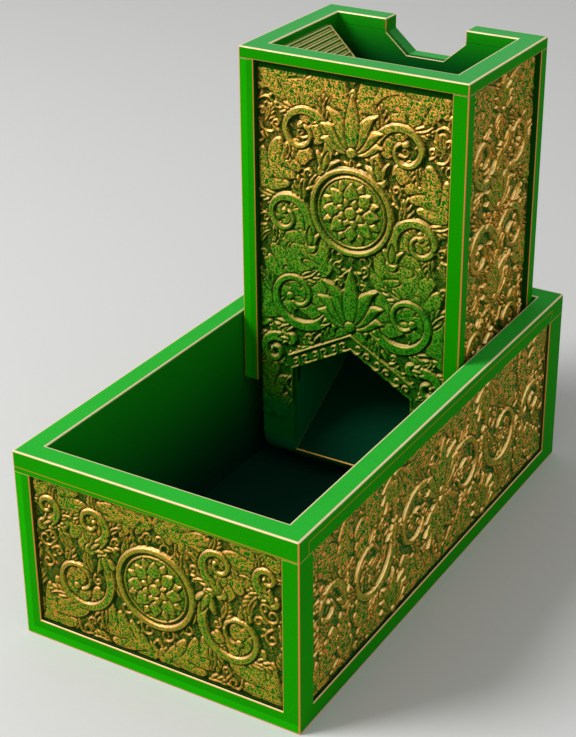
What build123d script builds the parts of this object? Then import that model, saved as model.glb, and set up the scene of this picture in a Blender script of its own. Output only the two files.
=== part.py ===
from build123d import *
from math import cos, pi, radians, sin, sqrt, tan
import os

# A folding dice tower: a tall baffled chute that stands at the back of a tray and swings
# forward on two side pivots to lie inside it, where its back wall becomes the lid.
# Lengths are in millimetres. X runs across the tray, Y from the tray's front to its back and
# Z up. The origin is the middle of the tray's underside.

# Fits and gaps
slide_fit = 0.1  # between pieces that are slid or glued together
mitre_fit = 0.25  # from the frame's inner corners to the sharp edges of the panels
run_fit = 0.06  # between a pivot pin and its bore, on the radius
rest_gap = 0.3  # between the tower and the tray floor, standing and folded
side_gap = 1.0  # between the tower and each side wall of the tray
rear_gap = 2.4  # between the standing tower and the tray's back wall
swing_gap = 1.0  # by which the tower's top edge passes the tray's front wall
heel_gap = 0.4  # by which the foot's heel passes the tray's back wall
toe_gap = 0.4  # by which the foot's toe passes the hollow in the tray floor
boss_gap = 0.9  # between a hinge boss and the bottom of the tower's frame
boss_end_gap = 0.4  # between a hinge boss and the foot
lid_drop = 0.6  # depth of the folded tower's lid below the tray's top edge

# Tray
tray_width = 110.0
tray_length = 206.0
tray_wall = 8.0
tray_floor = 4.4
tray_rim_depth = 7.8
tray_lip = 1.6  # part of the wall that stands in front of a panel
tray_plate = 2.4  # thickness of a panel
tray_tongue = 1.5  # how far a panel's edge runs into its groove
tray_sill = 6.8  # top of the rail below the panels
end_post = 6.3  # posts beside the front and back panels
front_post = 8.8  # posts beside the side panels, at the front
back_post = 12.1  # and at the back

# Tower
tower_depth = 67.1
hinge_setback = 28.6  # from the tower's front face back to the hinge axis
frame_thickness = 2.9
tower_plate = 2.9  # thickness of a panel
chute_wall = 2.4
front_stile = 6.1  # posts of the frame, seen from the front
side_stile = 5.2  # posts of the frame, seen from the side
collar_height = 5.8  # rail that joins the posts at the sides and the back
top_rim_depth = 4.4
apron_depth = 18.6  # how far the rim reaches down the back wall
notch_width = 33.4
notch_floor_width = 15.6
notch_depth = 13.2
notch_cheek = 5.4  # upright part of the notch's sides

# Foot and exit
foot_inset = 0.6  # foot inside the line of the chute above it
shoulder = 2.4
toe_radius = 25.1
toe_centre_drop = 8.5  # from the hinge axis down to the centre of the toe's curve
panel_drop = 13.9  # from the hinge axis down to the lower end of the front panel
exit_width = 50.8
jamb_rise = 18.2  # from the hinge axis up to the top of the exit's upright sides
gable_rise = 14.2
lip_height = 10.45  # from the tray floor up to the front edge of the ramp
ramp_angle = 30.0
ramp_thickness = 2.4
ramp_ledge = 3.0
foot_skin = 3.0

# Pivots
boss_radius = 10.0
boss_tip_radius = 7.5
spigot_radius = 6.0
pin_radius = 4.0
pin_head_radius = 6.8
pin_head_depth = 1.4
pin_grip = 10.0  # length of pin inside the foot
pin_tip_chamfer = 0.8

# Baffles
baffle_reach = 45.0
baffle_thickness = 3.0
baffle_tread = 1.5
baffle_heel = 12.0
baffle_top_drop = 3.1  # from the tower's top down to the top of the upper baffle
baffle_spacing = 52.0
baffle_rear_space = 8.9
baffle_tongue = 1.6
baffle_tongue_height = 4.0
baffle_angle = 45.0

# Carving: how far its main forms stand above a panel's face, and their proportions
tower_relief = 1.4
tray_relief = 0.95
leaf_relief = 0.55  # of a leaf, as a share of a scroll's
carving_margin = 0.4  # bare strip between the carving and the frame
band_width = 2.4  # of a scroll, where it starts
band_taper = 0.4
scroll_turns = 1.15
scroll_eye = 0.34  # radius of a scroll's end, as a share of the radius of its start
scroll_step = 1.3  # radius of a scroll for each of its steps
scroll_least_steps = 8
medallion_sides = 20
medallion_petals = 8

# Scrolls on half of each carved face, the other half being their mirror image: place across
# from the middle, height, radius, start in degrees, and 1 for anticlockwise or -1
tower_front_scrolls = (
    (23, 84, 14.5, 215, 1),
    (28, 115, 11, 190, -1),
    (21, 149, 12.5, 205, -1),
    (33, 58, 6.5, 100, -1),
)
tower_back_scrolls = tower_front_scrolls[:2]
tower_side_scrolls = (
    (14.2, 71, 12.4, 200, 1),
    (14.2, 108, 12.4, 160, -1),
    (14.2, 145, 12.4, 200, 1),
)
tray_end_scrolls = (
    (31, 29, 14, 150, 1),
    (25, 53, 7.5, 240, -1),
)
tray_side_scrolls = (
    (20, 35, 16, 180, -1),
    (53, 36, 16, 180, 1),
    (81, 36, 9.8, 180, -1),
)

# Leaves on half of each carved face: place across, height, heading in degrees, length and width
tower_front_leaves = (
    (0, 76, 90, 22, 5),
    (0, 76, 58, 18, 5),
    (0, 76, 28, 14, 5),
    (0, 145, 90, 20, 5),
    (0, 145, 55, 16, 5),
    (37, 66, 100, 15, 7),
    (38, 166, 200, 20, 8),
    (38, 130, 130, 16, 7),
    (5, 170, -20, 22, 7),
    (32.5, 23, 89, 22, 7),
)
tower_side_leaves = (
    (0, 86, 90, 20, 5),
    (0, 123, 90, 20, 5),
    (3, 89, -5, 23, 6),
    (3, 127, 5, 23, 6),
    (4, 166, -5, 22, 7),
)
tray_end_leaves = (
    (47, 60, 205, 18, 7),
    (47, 11, 130, 14, 6),
    (4, 11, 15, 18, 6),
    (4, 60, -12, 15, 6),
)
tray_side_leaves = (
    (0, 37, 90, 22, 6),
    (0, 37, 58, 18, 5),
    (0, 33, -90, 22, 6),
    (0, 33, -58, 18, 5),
)

# Darts between the scrolls of the tray's long sides, given as the leaves are
tray_side_darts = (
    (36.5, 62, -90, 17, 6),
    (36.5, 62, -48, 13, 5),
    (36.5, 62, -132, 13, 5),
    (36.5, 9, 90, 17, 6),
    (36.5, 9, 48, 13, 5),
    (36.5, 9, 132, 13, 5),
    (69, 62, -84, 20, 6),
    (69, 9, 84, 20, 6),
    (91, 61, 215, 15, 6),
    (91, 10, 145, 15, 6),
)
tower_medallion = (0, 122, 17)
tray_medallion = (0, 35.7, 15.4)

# Tray places
tray_height = tray_floor + rest_gap + tower_depth + lid_drop
rim_base = tray_height - tray_rim_depth
well_width = tray_width - 2 * tray_wall
well_length = tray_length - 2 * tray_wall
tray_groove = tray_plate + 2 * slide_fit
leaf_thickness = tray_wall - tray_lip - tray_groove
groove_base = tray_sill - tray_tongue - slide_fit

# Tower places
tower_width = well_width - 2 * side_gap
tower_back_y = well_length / 2 - rear_gap
tower_front_y = tower_back_y - tower_depth
tower_middle_y = (tower_front_y + tower_back_y) / 2
hinge_y = tower_front_y + hinge_setback
hinge_z = tray_floor + rest_gap + hinge_setback

# The tower is as tall as lets its top front edge swing past the tray's front wall.
top_edge_swing = hinge_y + well_length / 2 - swing_gap
tower_top = hinge_z + sqrt(top_edge_swing**2 - hinge_setback**2)
frame_top = tower_top - top_rim_depth
frame_base = hinge_z + boss_radius + boss_gap

plate_space = tower_plate + 2 * slide_fit
panel_line_width = tower_width - 2 * frame_thickness
panel_line_depth = tower_depth - 2 * frame_thickness
chute_width = panel_line_width - 2 * plate_space
chute_depth = panel_line_depth - 2 * plate_space
bore_width = chute_width - 2 * chute_wall
bore_depth = chute_depth - 2 * chute_wall
bore_front_y = tower_middle_y - bore_depth / 2
bore_back_y = tower_middle_y + bore_depth / 2
chute_front_y = tower_middle_y - chute_depth / 2
chute_back_y = tower_middle_y + chute_depth / 2
panel_face_y = tower_front_y + frame_thickness + slide_fit

# Foot places
foot_width = chute_width - 2 * foot_inset
foot_base = tray_floor + rest_gap
panel_foot_z = hinge_z - panel_drop
jamb_top = hinge_z + jamb_rise
exit_top = jamb_top + gable_rise
toe_centre_z = hinge_z - toe_centre_drop
toe_centre_y = panel_face_y + sqrt(toe_radius**2 - (toe_centre_z - panel_foot_z) ** 2)
lip_z = tray_floor + lip_height
lip_y = toe_centre_y - sqrt(toe_radius**2 - (toe_centre_z - lip_z) ** 2)
ramp_rise = (bore_back_y - lip_y) * tan(radians(ramp_angle))
ramp_height = ramp_thickness / cos(radians(ramp_angle))

shoulder_half = foot_width / 2 + shoulder
wedge_outer_x = bore_width / 2 - slide_fit

# Panel places: each panel's sharp edges stop this far short of the frame's inner corners.
mitre_half_width = panel_line_width / 2 - mitre_fit
mitre_half_depth = panel_line_depth / 2 - mitre_fit
front_panel_top = frame_top - slide_fit
apron_base = tower_top - apron_depth
front_window_half = tower_width / 2 - front_stile

# Baffle places, as the side of the chute and the height of the slot
baffle_length = bore_depth - baffle_rear_space - slide_fit
baffle_middle_y = bore_front_y + slide_fit + baffle_length / 2
upper_slot_z = tower_top - baffle_top_drop - baffle_heel - baffle_tongue_height / 2
baffle_slots = ((-1, upper_slot_z), (1, upper_slot_z - baffle_spacing))

# The frame's lower front edge swings lowest. The toe keeps inside its circle, and the tray
# floor is hollowed a little for both.
toe_swing = sqrt(hinge_setback**2 + (frame_base - hinge_z) ** 2)
heel_swing = well_length / 2 - hinge_y - heel_gap

os.makedirs("parts", exist_ok=True)


def upright(y):
    """A plane across the object at this y, with X and Z as its own axes."""
    return Plane.XZ.offset(-y)


def area(x_low, x_high, y_low, y_high, mode=Mode.ADD):
    """A rectangle between these limits, in the sketch that is open."""
    with Locations(((x_low + x_high) / 2, (y_low + y_high) / 2)):
        Rectangle(x_high - x_low, y_high - y_low, mode=mode)


def exit_outline(base_z, mode=Mode.ADD):
    """The gabled exit, from this height up."""
    half = exit_width / 2
    Polygon(
        (-half, base_z),
        (half, base_z),
        (half, jamb_top),
        (0, exit_top),
        (-half, jamb_top),
        mode=mode,
    )


def notch_outline(mode=Mode.ADD):
    """The finger notch in the top of the back wall."""
    top = tower_top + slide_fit
    Polygon(
        (-notch_width / 2, top),
        (-notch_width / 2, tower_top - notch_cheek),
        (-notch_floor_width / 2, tower_top - notch_depth),
        (notch_floor_width / 2, tower_top - notch_depth),
        (notch_width / 2, tower_top - notch_cheek),
        (notch_width / 2, top),
        mode=mode,
    )


def face_plane(x, y, out_x, out_y):
    """A plane on a panel's face, looking out, with its X level and its Y up."""
    return Plane(origin=(x, y, 0), x_dir=(-out_y, out_x, 0), z_dir=(out_x, out_y, 0))


def scroll(x, z, radius, start, hand):
    """A band wound inwards round a point, with a bud in its eye."""
    steps = max(scroll_least_steps, round(radius / scroll_step))
    outer = []
    inner = []
    for step in range(steps + 1):
        share = step / steps
        angle = radians(start) + hand * 2 * pi * scroll_turns * share
        reach = radius * scroll_eye**share
        half = band_width / 2 * (1 - band_taper * share)
        outer.append((x + (reach + half) * cos(angle), z + (reach + half) * sin(angle)))
        inner.append((x + (reach - half) * cos(angle), z + (reach - half) * sin(angle)))
    Polygon(*outer, *reversed(inner))
    with Locations((x, z)):
        RegularPolygon(radius * scroll_eye / 2, 4)


def leaf(x, z, heading, length, width):
    """A pointed leaf that is widest a third of the way along."""
    with Locations(Location((x, z, 0), heading)):
        Polygon(
            (0, 0),
            (length / 3, -width / 2),
            (length * 2 / 3, -width / 3),
            (length, 0),
            (length * 2 / 3, width / 3),
            (length / 3, width / 2),
        )


def dart(x, z, heading, length, width):
    """A leaf with straight edges."""
    with Locations(Location((x, z, 0), heading)):
        Polygon(
            (0, 0),
            (length / 3, -width / 2),
            (length, 0),
            (length / 3, width / 2),
        )


def keep_within(half, base_z, top_z):
    """Cuts the carving in the open sketch off at the sides, the bottom and the top."""
    area(-half, half, base_z, top_z, mode=Mode.INTERSECT)


def petals(x, z, radius):
    """A ring of pointed petals."""
    with Locations((x, z)):
        with PolarLocations(0, medallion_petals):
            Polygon(
                (radius / 4, 0),
                (radius / 2, -radius / 6),
                (radius * 3 / 4, 0),
                (radius / 2, radius / 6),
            )


def medallion_ring(x, z, radius):
    """The raised border of a medallion."""
    with Locations((x, z)):
        RegularPolygon(radius, medallion_sides)
        RegularPolygon(radius - band_width, medallion_sides, mode=Mode.SUBTRACT)


# Tray body: floor and walls, with open-topped grooves that hold the four panels
side_window_front = -tray_length / 2 + front_post
side_window_back = tray_length / 2 - back_post
with BuildPart() as tray_body:
    with BuildSketch():
        Rectangle(tray_width, tray_length)
    extrude(amount=rim_base)
    with BuildSketch(Plane.XY.offset(tray_floor)):
        Rectangle(well_width, well_length)
    extrude(amount=rim_base, mode=Mode.SUBTRACT)
    with BuildSketch(Plane.XY.offset(tray_sill)):
        with Locations((0, (tray_length - tray_lip) / 2), (0, -(tray_length - tray_lip) / 2)):
            Rectangle(tray_width - 2 * end_post, tray_lip)
        for side in (-1, 1):
            outer = side * tray_width / 2
            inner = side * (tray_width / 2 - tray_lip)
            area(min(inner, outer), max(inner, outer), side_window_front, side_window_back)
    extrude(amount=rim_base, mode=Mode.SUBTRACT)
    with BuildSketch(Plane.XY.offset(groove_base)):
        end_groove_y = tray_length / 2 - tray_lip - tray_groove / 2
        with Locations((0, end_groove_y), (0, -end_groove_y)):
            Rectangle(tray_width - 2 * (end_post - tray_tongue - slide_fit), tray_groove)
        for side in (-1, 1):
            outer = side * (tray_width / 2 - tray_lip)
            inner = side * (well_width / 2 + leaf_thickness)
            area(
                min(inner, outer),
                max(inner, outer),
                side_window_front - tray_tongue - slide_fit,
                side_window_back + tray_tongue + slide_fit,
            )
    extrude(amount=rim_base, mode=Mode.SUBTRACT)
    # Hollow in the floor for the swing of the toe
    with BuildSketch(Plane.YZ):
        with Locations((hinge_y, hinge_z)):
            Circle(toe_swing + toe_gap)
    extrude(amount=well_width / 2, both=True, mode=Mode.SUBTRACT)
    # Seats of the hinge bosses, counterbored from the grooves for the heads of the pins
    for side in (-1, 1):
        leaf_face = Plane(
            origin=(side * (well_width / 2 + leaf_thickness), hinge_y, hinge_z),
            z_dir=(side, 0, 0),
        )
        with Locations(leaf_face):
            CounterBoreHole(
                radius=spigot_radius + slide_fit,
                counter_bore_radius=pin_head_radius + slide_fit,
                counter_bore_depth=pin_head_depth + slide_fit,
                depth=leaf_thickness,
            )
tray_body.part.label = "tray_body"
export_step(tray_body.part, "parts/tray_body.step")

# Tray rim: a ring that closes the grooves
with BuildPart() as tray_rim:
    with BuildSketch(Plane.XY.offset(rim_base)):
        Rectangle(tray_width, tray_length)
        Rectangle(well_width, well_length, mode=Mode.SUBTRACT)
    extrude(amount=tray_rim_depth)
tray_rim.part.label = "tray_rim"
export_step(tray_rim.part, "parts/tray_rim.step")

# Tray panels: carved plates that slide down into the grooves, with scrolls, leaves and, at the
# ends, a medallion standing above their faces
tray_panel_base = groove_base + slide_fit
tray_panel_top = rim_base - slide_fit
end_panel_half = tray_width / 2 - end_post + tray_tongue
end_carving_half = tray_width / 2 - end_post - carving_margin
side_carving_half = (side_window_back - side_window_front) / 2 - carving_margin
side_carving_middle = (side_window_back + side_window_front) / 2
tray_carving_base = tray_sill + carving_margin
tray_carving_top = rim_base - carving_margin
for end, place in ((-1, "front"), (1, "back")):
    face_y = end * (tray_length / 2 - tray_lip - slide_fit)
    with BuildPart() as end_panel:
        with BuildSketch(upright(face_y)):
            area(-end_panel_half, end_panel_half, tray_panel_base, tray_panel_top)
        extrude(amount=end * tray_plate)
        carved_face = face_plane(0, face_y, 0, end)
        with BuildSketch(carved_face):
            for form in tray_end_leaves:
                leaf(*form)
            mirror(about=Plane.YZ)
            keep_within(end_carving_half, tray_carving_base, tray_carving_top)
        extrude(amount=tray_relief * leaf_relief)
        with BuildSketch(carved_face):
            for form in tray_end_scrolls:
                scroll(*form)
            mirror(about=Plane.YZ)
            medallion_ring(*tray_medallion)
            petals(*tray_medallion)
        extrude(amount=tray_relief)
    end_panel.part.label = f"tray_{place}_panel"
    export_step(end_panel.part, f"parts/tray_{place}_panel.step")

for side, place in ((-1, "left"), (1, "right")):
    face_x = side * (tray_width / 2 - tray_lip - slide_fit)
    with BuildPart() as side_panel:
        with BuildSketch(Plane.YZ.offset(face_x)):
            area(
                side_window_front - tray_tongue,
                side_window_back + tray_tongue,
                tray_panel_base,
                tray_panel_top,
            )
        extrude(amount=-side * tray_plate)
        carved_face = face_plane(face_x, side_carving_middle, side, 0)
        with BuildSketch(carved_face):
            for form in tray_side_leaves:
                leaf(*form)
            for form in tray_side_darts:
                dart(*form)
            mirror(about=Plane.YZ)
            keep_within(side_carving_half, tray_carving_base, tray_carving_top)
        extrude(amount=tray_relief * leaf_relief)
        with BuildSketch(carved_face):
            for form in tray_side_scrolls:
                scroll(*form)
            mirror(about=Plane.YZ)
        extrude(amount=tray_relief)
    side_panel.part.label = f"tray_{place}_panel"
    export_step(side_panel.part, f"parts/tray_{place}_panel.step")

# Hinge bosses: cones whose spigots are glued into the side walls, bored for the pins
boss_root_x = well_width / 2
boss_tip_x = foot_width / 2 + boss_end_gap
spigot_end_x = boss_root_x + leaf_thickness - pin_head_depth - slide_fit
for side, place in ((-1, "left"), (1, "right")):
    with BuildPart() as hinge_boss:
        with BuildSketch(upright(hinge_y)):
            Polygon(
                (side * boss_tip_x, hinge_z + pin_radius + run_fit),
                (side * boss_tip_x, hinge_z + boss_tip_radius),
                (side * boss_root_x, hinge_z + boss_radius),
                (side * boss_root_x, hinge_z + spigot_radius),
                (side * spigot_end_x, hinge_z + spigot_radius),
                (side * spigot_end_x, hinge_z + pin_radius + run_fit),
            )
        revolve(axis=Axis((0, hinge_y, hinge_z), (1, 0, 0)))
    hinge_boss.part.label = f"hinge_boss_{place}"
    export_step(hinge_boss.part, f"parts/hinge_boss_{place}.step")

# Pivot pins: headed pins pressed in from behind the side panels
pin_head_x = boss_root_x + leaf_thickness
pin_tip_x = foot_width / 2 - pin_grip
for side, place in ((-1, "left"), (1, "right")):
    with BuildPart() as pivot_pin:
        with BuildSketch(upright(hinge_y)):
            Polygon(
                (side * pin_tip_x, hinge_z),
                (side * pin_tip_x, hinge_z + pin_radius - pin_tip_chamfer),
                (side * (pin_tip_x + pin_tip_chamfer), hinge_z + pin_radius),
                (side * (pin_head_x - pin_head_depth), hinge_z + pin_radius),
                (side * (pin_head_x - pin_head_depth), hinge_z + pin_head_radius),
                (side * pin_head_x, hinge_z + pin_head_radius),
                (side * pin_head_x, hinge_z),
            )
        revolve(axis=Axis((0, hinge_y, hinge_z), (1, 0, 0)))
    pivot_pin.part.label = f"pivot_pin_{place}"
    export_step(pivot_pin.part, f"parts/pivot_pin_{place}.step")

# Foot: two cheeks joined by a curved skin, hollow under the ramp, with a shoulder that
# carries the chute and its panels, and wedges that narrow the chute to the exit
with BuildSketch(Plane.YZ) as toe_limit:
    with Locations((toe_centre_y, toe_centre_z)):
        Circle(toe_radius)
    with Locations((hinge_y, hinge_z)):
        Circle(toe_swing, mode=Mode.INTERSECT)
with BuildSketch(Plane.YZ) as toe_waste:
    area(panel_face_y, hinge_y, foot_base, panel_foot_z)
    add(toe_limit.sketch_local, mode=Mode.SUBTRACT)
with BuildSketch(Plane.YZ) as foot_profile:
    area(panel_face_y, chute_back_y, foot_base, frame_base)
    area(panel_face_y, chute_front_y, panel_foot_z, frame_base, mode=Mode.SUBTRACT)
    add(toe_waste.sketch_local, mode=Mode.SUBTRACT)
    with Locations((hinge_y, hinge_z)):
        Circle(heel_swing, mode=Mode.INTERSECT)
with BuildSketch(Plane.YZ) as foot_pocket:
    add(foot_profile.sketch_local)
    offset(amount=-foot_skin, kind=Kind.INTERSECTION, mode=Mode.REPLACE)
with BuildSketch(Plane.YZ) as above_ramp:
    Polygon(
        (lip_y - ramp_height, lip_z - ramp_height * (1 + tan(radians(ramp_angle)))),
        (bore_back_y, lip_z - ramp_height + ramp_rise),
        (bore_back_y, exit_top),
        (lip_y - ramp_height, exit_top),
    )

with BuildPart() as tower_foot:
    extrude(foot_profile.sketch, amount=foot_width / 2, both=True)
    with BuildSketch(Plane.XY.offset(frame_base)):
        area(-shoulder_half, shoulder_half, chute_front_y, chute_back_y + shoulder)
    with BuildSketch(Plane.XY.offset(frame_base - shoulder)):
        area(-foot_width / 2, foot_width / 2, chute_front_y + shoulder, chute_back_y)
    loft()
    extrude(foot_pocket.sketch, amount=exit_width / 2 - ramp_ledge, both=True, mode=Mode.SUBTRACT)
    extrude(above_ramp.sketch, amount=exit_width / 2, both=True, mode=Mode.SUBTRACT)
    with BuildSketch(upright(bore_front_y + slide_fit)):
        for side in (-1, 1):
            Polygon(
                (side * exit_width / 2, frame_base - shoulder),
                (side * exit_width / 2, jamb_top),
                (side * wedge_outer_x, jamb_top + wedge_outer_x - exit_width / 2),
                (side * wedge_outer_x, frame_base - shoulder),
            )
    extrude(amount=-(bore_depth - 2 * slide_fit))
    for side in (-1, 1):
        cheek_face = Plane(
            origin=(side * foot_width / 2, hinge_y, hinge_z),
            z_dir=(side, 0, 0),
        )
        with Locations(cheek_face):
            Hole(radius=pin_radius + run_fit, depth=pin_grip + boss_end_gap)
tower_foot.part.label = "tower_foot"
export_step(tower_foot.part, "parts/tower_foot.step")

# Exit ramp: a plate laid on the ledges between the cheeks, its front end cut to the toe
with BuildPart() as exit_ramp:
    with BuildSketch(Plane.YZ):
        Polygon(
            (lip_y, lip_z),
            (bore_back_y - slide_fit, lip_z + ramp_rise),
            (bore_back_y - slide_fit, lip_z + ramp_rise - ramp_height),
            (lip_y, lip_z - ramp_height),
        )
        add(toe_waste.sketch_local, mode=Mode.SUBTRACT)
    extrude(amount=exit_width / 2 - slide_fit, both=True)
exit_ramp.part.label = "exit_ramp"
export_step(exit_ramp.part, "parts/exit_ramp.step")

# Chute: a square tube with the exit cut in its front, the notch in its back and slots in
# its sides for the tongues of the baffles
with BuildPart() as tower_chute:
    with BuildSketch(Plane.XY.offset(frame_base)):
        with Locations((0, tower_middle_y)):
            Rectangle(chute_width, chute_depth)
            Rectangle(bore_width, bore_depth, mode=Mode.SUBTRACT)
    extrude(amount=frame_top - slide_fit - frame_base)
    with BuildSketch(upright(tower_middle_y)):
        exit_outline(panel_foot_z)
    extrude(amount=chute_depth, mode=Mode.SUBTRACT)
    with BuildSketch(upright(tower_middle_y)):
        notch_outline()
    extrude(amount=-chute_depth, mode=Mode.SUBTRACT)
    for side, slot_z in baffle_slots:
        with BuildSketch(Plane.YZ):
            with Locations((baffle_middle_y, slot_z)):
                Rectangle(baffle_length + 2 * slide_fit, baffle_tongue_height + 2 * slide_fit)
        extrude(amount=side * (bore_width / 2 + baffle_tongue), mode=Mode.SUBTRACT)
tower_chute.part.label = "tower_chute"
export_step(tower_chute.part, "parts/tower_chute.step")

# Frame: four corner posts joined by a collar at the sides and the back, open at the front
with BuildPart() as tower_frame:
    with BuildSketch(Plane.XY.offset(frame_base)):
        with Locations((0, tower_middle_y)):
            Rectangle(tower_width, tower_depth)
            Rectangle(panel_line_width, panel_line_depth, mode=Mode.SUBTRACT)
        area(-front_window_half, front_window_half, tower_front_y, tower_middle_y, mode=Mode.SUBTRACT)
    extrude(amount=frame_top - slide_fit - frame_base)
    with BuildSketch(Plane.XY.offset(frame_base + collar_height)):
        area(-front_window_half, front_window_half, tower_middle_y, tower_back_y)
        with Locations((0, tower_middle_y)):
            Rectangle(tower_width, tower_depth - 2 * side_stile)
    extrude(amount=frame_top - frame_base, mode=Mode.SUBTRACT)
tower_frame.part.label = "tower_frame"
export_step(tower_frame.part, "parts/tower_frame.step")

# Rim: a ring round the mouth, with an apron down the back for the finger notch
with BuildPart() as tower_rim:
    with BuildSketch(Plane.XY.offset(frame_top)):
        with Locations((0, tower_middle_y)):
            Rectangle(tower_width, tower_depth)
            Rectangle(bore_width, bore_depth, mode=Mode.SUBTRACT)
    extrude(amount=top_rim_depth)
    with BuildSketch(Plane.XY.offset(apron_base)):
        area(
            -front_window_half + slide_fit,
            front_window_half - slide_fit,
            chute_back_y + slide_fit,
            tower_back_y,
        )
    extrude(amount=apron_depth)
    with BuildSketch(upright(tower_middle_y)):
        notch_outline()
    extrude(amount=-tower_depth, mode=Mode.SUBTRACT)
tower_rim.part.label = "tower_rim"
export_step(tower_rim.part, "parts/tower_rim.step")

# Limits of the carving on the tower's panels
front_carving_half = front_window_half - carving_margin
tower_carving_half = tower_depth / 2 - side_stile - carving_margin
tower_carving_base = frame_base + collar_height + carving_margin
tower_carving_top = frame_top - carving_margin
back_carving_top = apron_base - carving_margin

# Front panel: mitred to the side panels above the shoulder, and stepped in below it to
# cover the cheeks of the foot on both sides of the exit
with BuildPart() as tower_front_panel:
    with BuildSketch(upright(panel_face_y)):
        Polygon(
            (-mitre_half_width, front_panel_top),
            (-mitre_half_width, frame_base),
            (-shoulder_half, frame_base),
            (-foot_width / 2, frame_base - shoulder),
            (-foot_width / 2, panel_foot_z + slide_fit),
            (foot_width / 2, panel_foot_z + slide_fit),
            (foot_width / 2, frame_base - shoulder),
            (shoulder_half, frame_base),
            (mitre_half_width, frame_base),
            (mitre_half_width, front_panel_top),
        )
        exit_outline(panel_foot_z, mode=Mode.SUBTRACT)
    extrude(amount=-tower_plate)
    with BuildSketch():
        for side in (-1, 1):
            Polygon(
                (side * mitre_half_width, panel_face_y),
                (side * (mitre_half_width - tower_plate), panel_face_y + tower_plate),
                (side * mitre_half_width, panel_face_y + tower_plate),
            )
    extrude(amount=tower_top, mode=Mode.SUBTRACT)
    carved_face = face_plane(0, panel_face_y, 0, -1)
    with BuildSketch(carved_face):
        for form in tower_front_leaves:
            leaf(*form)
        mirror(about=Plane.YZ)
        keep_within(front_carving_half, panel_foot_z, tower_carving_top)
    extrude(amount=tower_relief * leaf_relief)
    with BuildSketch(carved_face):
        for form in tower_front_scrolls:
            scroll(*form)
        mirror(about=Plane.YZ)
        medallion_ring(*tower_medallion)
        petals(*tower_medallion)
    extrude(amount=tower_relief)
tower_front_panel.part.label = "tower_front_panel"
export_step(tower_front_panel.part, "parts/tower_front_panel.step")

# Back panel, below the rim's apron
with BuildPart() as tower_back_panel:
    back_face_y = tower_back_y - frame_thickness - slide_fit
    with BuildSketch(Plane.XY.offset(frame_base + slide_fit)):
        Polygon(
            (-mitre_half_width, back_face_y),
            (mitre_half_width, back_face_y),
            (mitre_half_width - tower_plate, back_face_y - tower_plate),
            (tower_plate - mitre_half_width, back_face_y - tower_plate),
        )
    extrude(amount=apron_base - frame_base - 2 * slide_fit)
    carved_face = face_plane(0, back_face_y, 0, 1)
    with BuildSketch(carved_face):
        for form in tower_front_leaves:
            leaf(*form)
        mirror(about=Plane.YZ)
        keep_within(front_carving_half, tower_carving_base, back_carving_top)
    extrude(amount=tower_relief * leaf_relief)
    with BuildSketch(carved_face):
        for form in tower_back_scrolls:
            scroll(*form)
        mirror(about=Plane.YZ)
        medallion_ring(*tower_medallion)
        petals(*tower_medallion)
    extrude(amount=tower_relief)
tower_back_panel.part.label = "tower_back_panel"
export_step(tower_back_panel.part, "parts/tower_back_panel.step")

# Side panels
for side, place in ((-1, "left"), (1, "right")):
    side_face_x = side * (panel_line_width / 2 - slide_fit)
    back_of_panel_x = side_face_x - side * tower_plate
    with BuildPart() as tower_side_panel:
        with BuildSketch(Plane.XY.offset(frame_base + slide_fit)):
            Polygon(
                (side_face_x, tower_middle_y - mitre_half_depth),
                (side_face_x, tower_middle_y + mitre_half_depth),
                (back_of_panel_x, tower_middle_y + mitre_half_depth - tower_plate),
                (back_of_panel_x, tower_middle_y - mitre_half_depth + tower_plate),
            )
        extrude(amount=front_panel_top - frame_base - slide_fit)
        carved_face = face_plane(side_face_x, tower_middle_y, side, 0)
        with BuildSketch(carved_face):
            for form in tower_side_leaves:
                leaf(*form)
            mirror(about=Plane.YZ)
            keep_within(tower_carving_half, tower_carving_base, tower_carving_top)
        extrude(amount=tower_relief * leaf_relief)
        with BuildSketch(carved_face):
            for form in tower_side_scrolls:
                scroll(*form)
            mirror(about=Plane.YZ)
        extrude(amount=tower_relief)
    tower_side_panel.part.label = f"tower_{place}_panel"
    export_step(tower_side_panel.part, f"parts/tower_{place}_panel.step")

# Baffles: stepped slopes that turn the dice from side to side, each with a heel against the
# wall and a tongue in the wall's slot
for (side, slot_z), place in zip(baffle_slots, ("upper", "lower")):
    wall_x = bore_width / 2 - slide_fit
    top_z = slot_z + baffle_tongue_height / 2 + baffle_heel
    steps = int(baffle_reach / baffle_tread)
    stair = []
    for step in range(steps):
        inset = wall_x - step * baffle_tread
        height = top_z - step * baffle_tread
        stair += [(inset, height), (inset - baffle_tread, height)]
    end_x = wall_x - steps * baffle_tread
    end_z = top_z - steps * baffle_tread
    heel_x = wall_x - baffle_thickness
    plate_drop = baffle_thickness / cos(radians(baffle_angle))
    profile = stair + [
        (end_x, end_z + baffle_tread - plate_drop),
        (heel_x, top_z + baffle_tread - plate_drop - baffle_thickness),
        (heel_x, slot_z - baffle_tongue_height),
        (wall_x, slot_z - baffle_tongue_height),
        (wall_x, slot_z - baffle_tongue_height / 2),
        (wall_x + baffle_tongue, slot_z - baffle_tongue_height / 2),
        (wall_x + baffle_tongue, slot_z + baffle_tongue_height / 2),
        (wall_x, slot_z + baffle_tongue_height / 2),
    ]
    with BuildPart() as baffle:
        with BuildSketch(upright(bore_front_y + slide_fit)):
            Polygon([(side * x, z) for x, z in profile])
        extrude(amount=-baffle_length)
    baffle.part.label = f"{place}_baffle"
    export_step(baffle.part, f"parts/{place}_baffle.step")
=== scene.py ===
import math
from functools import partial

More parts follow.
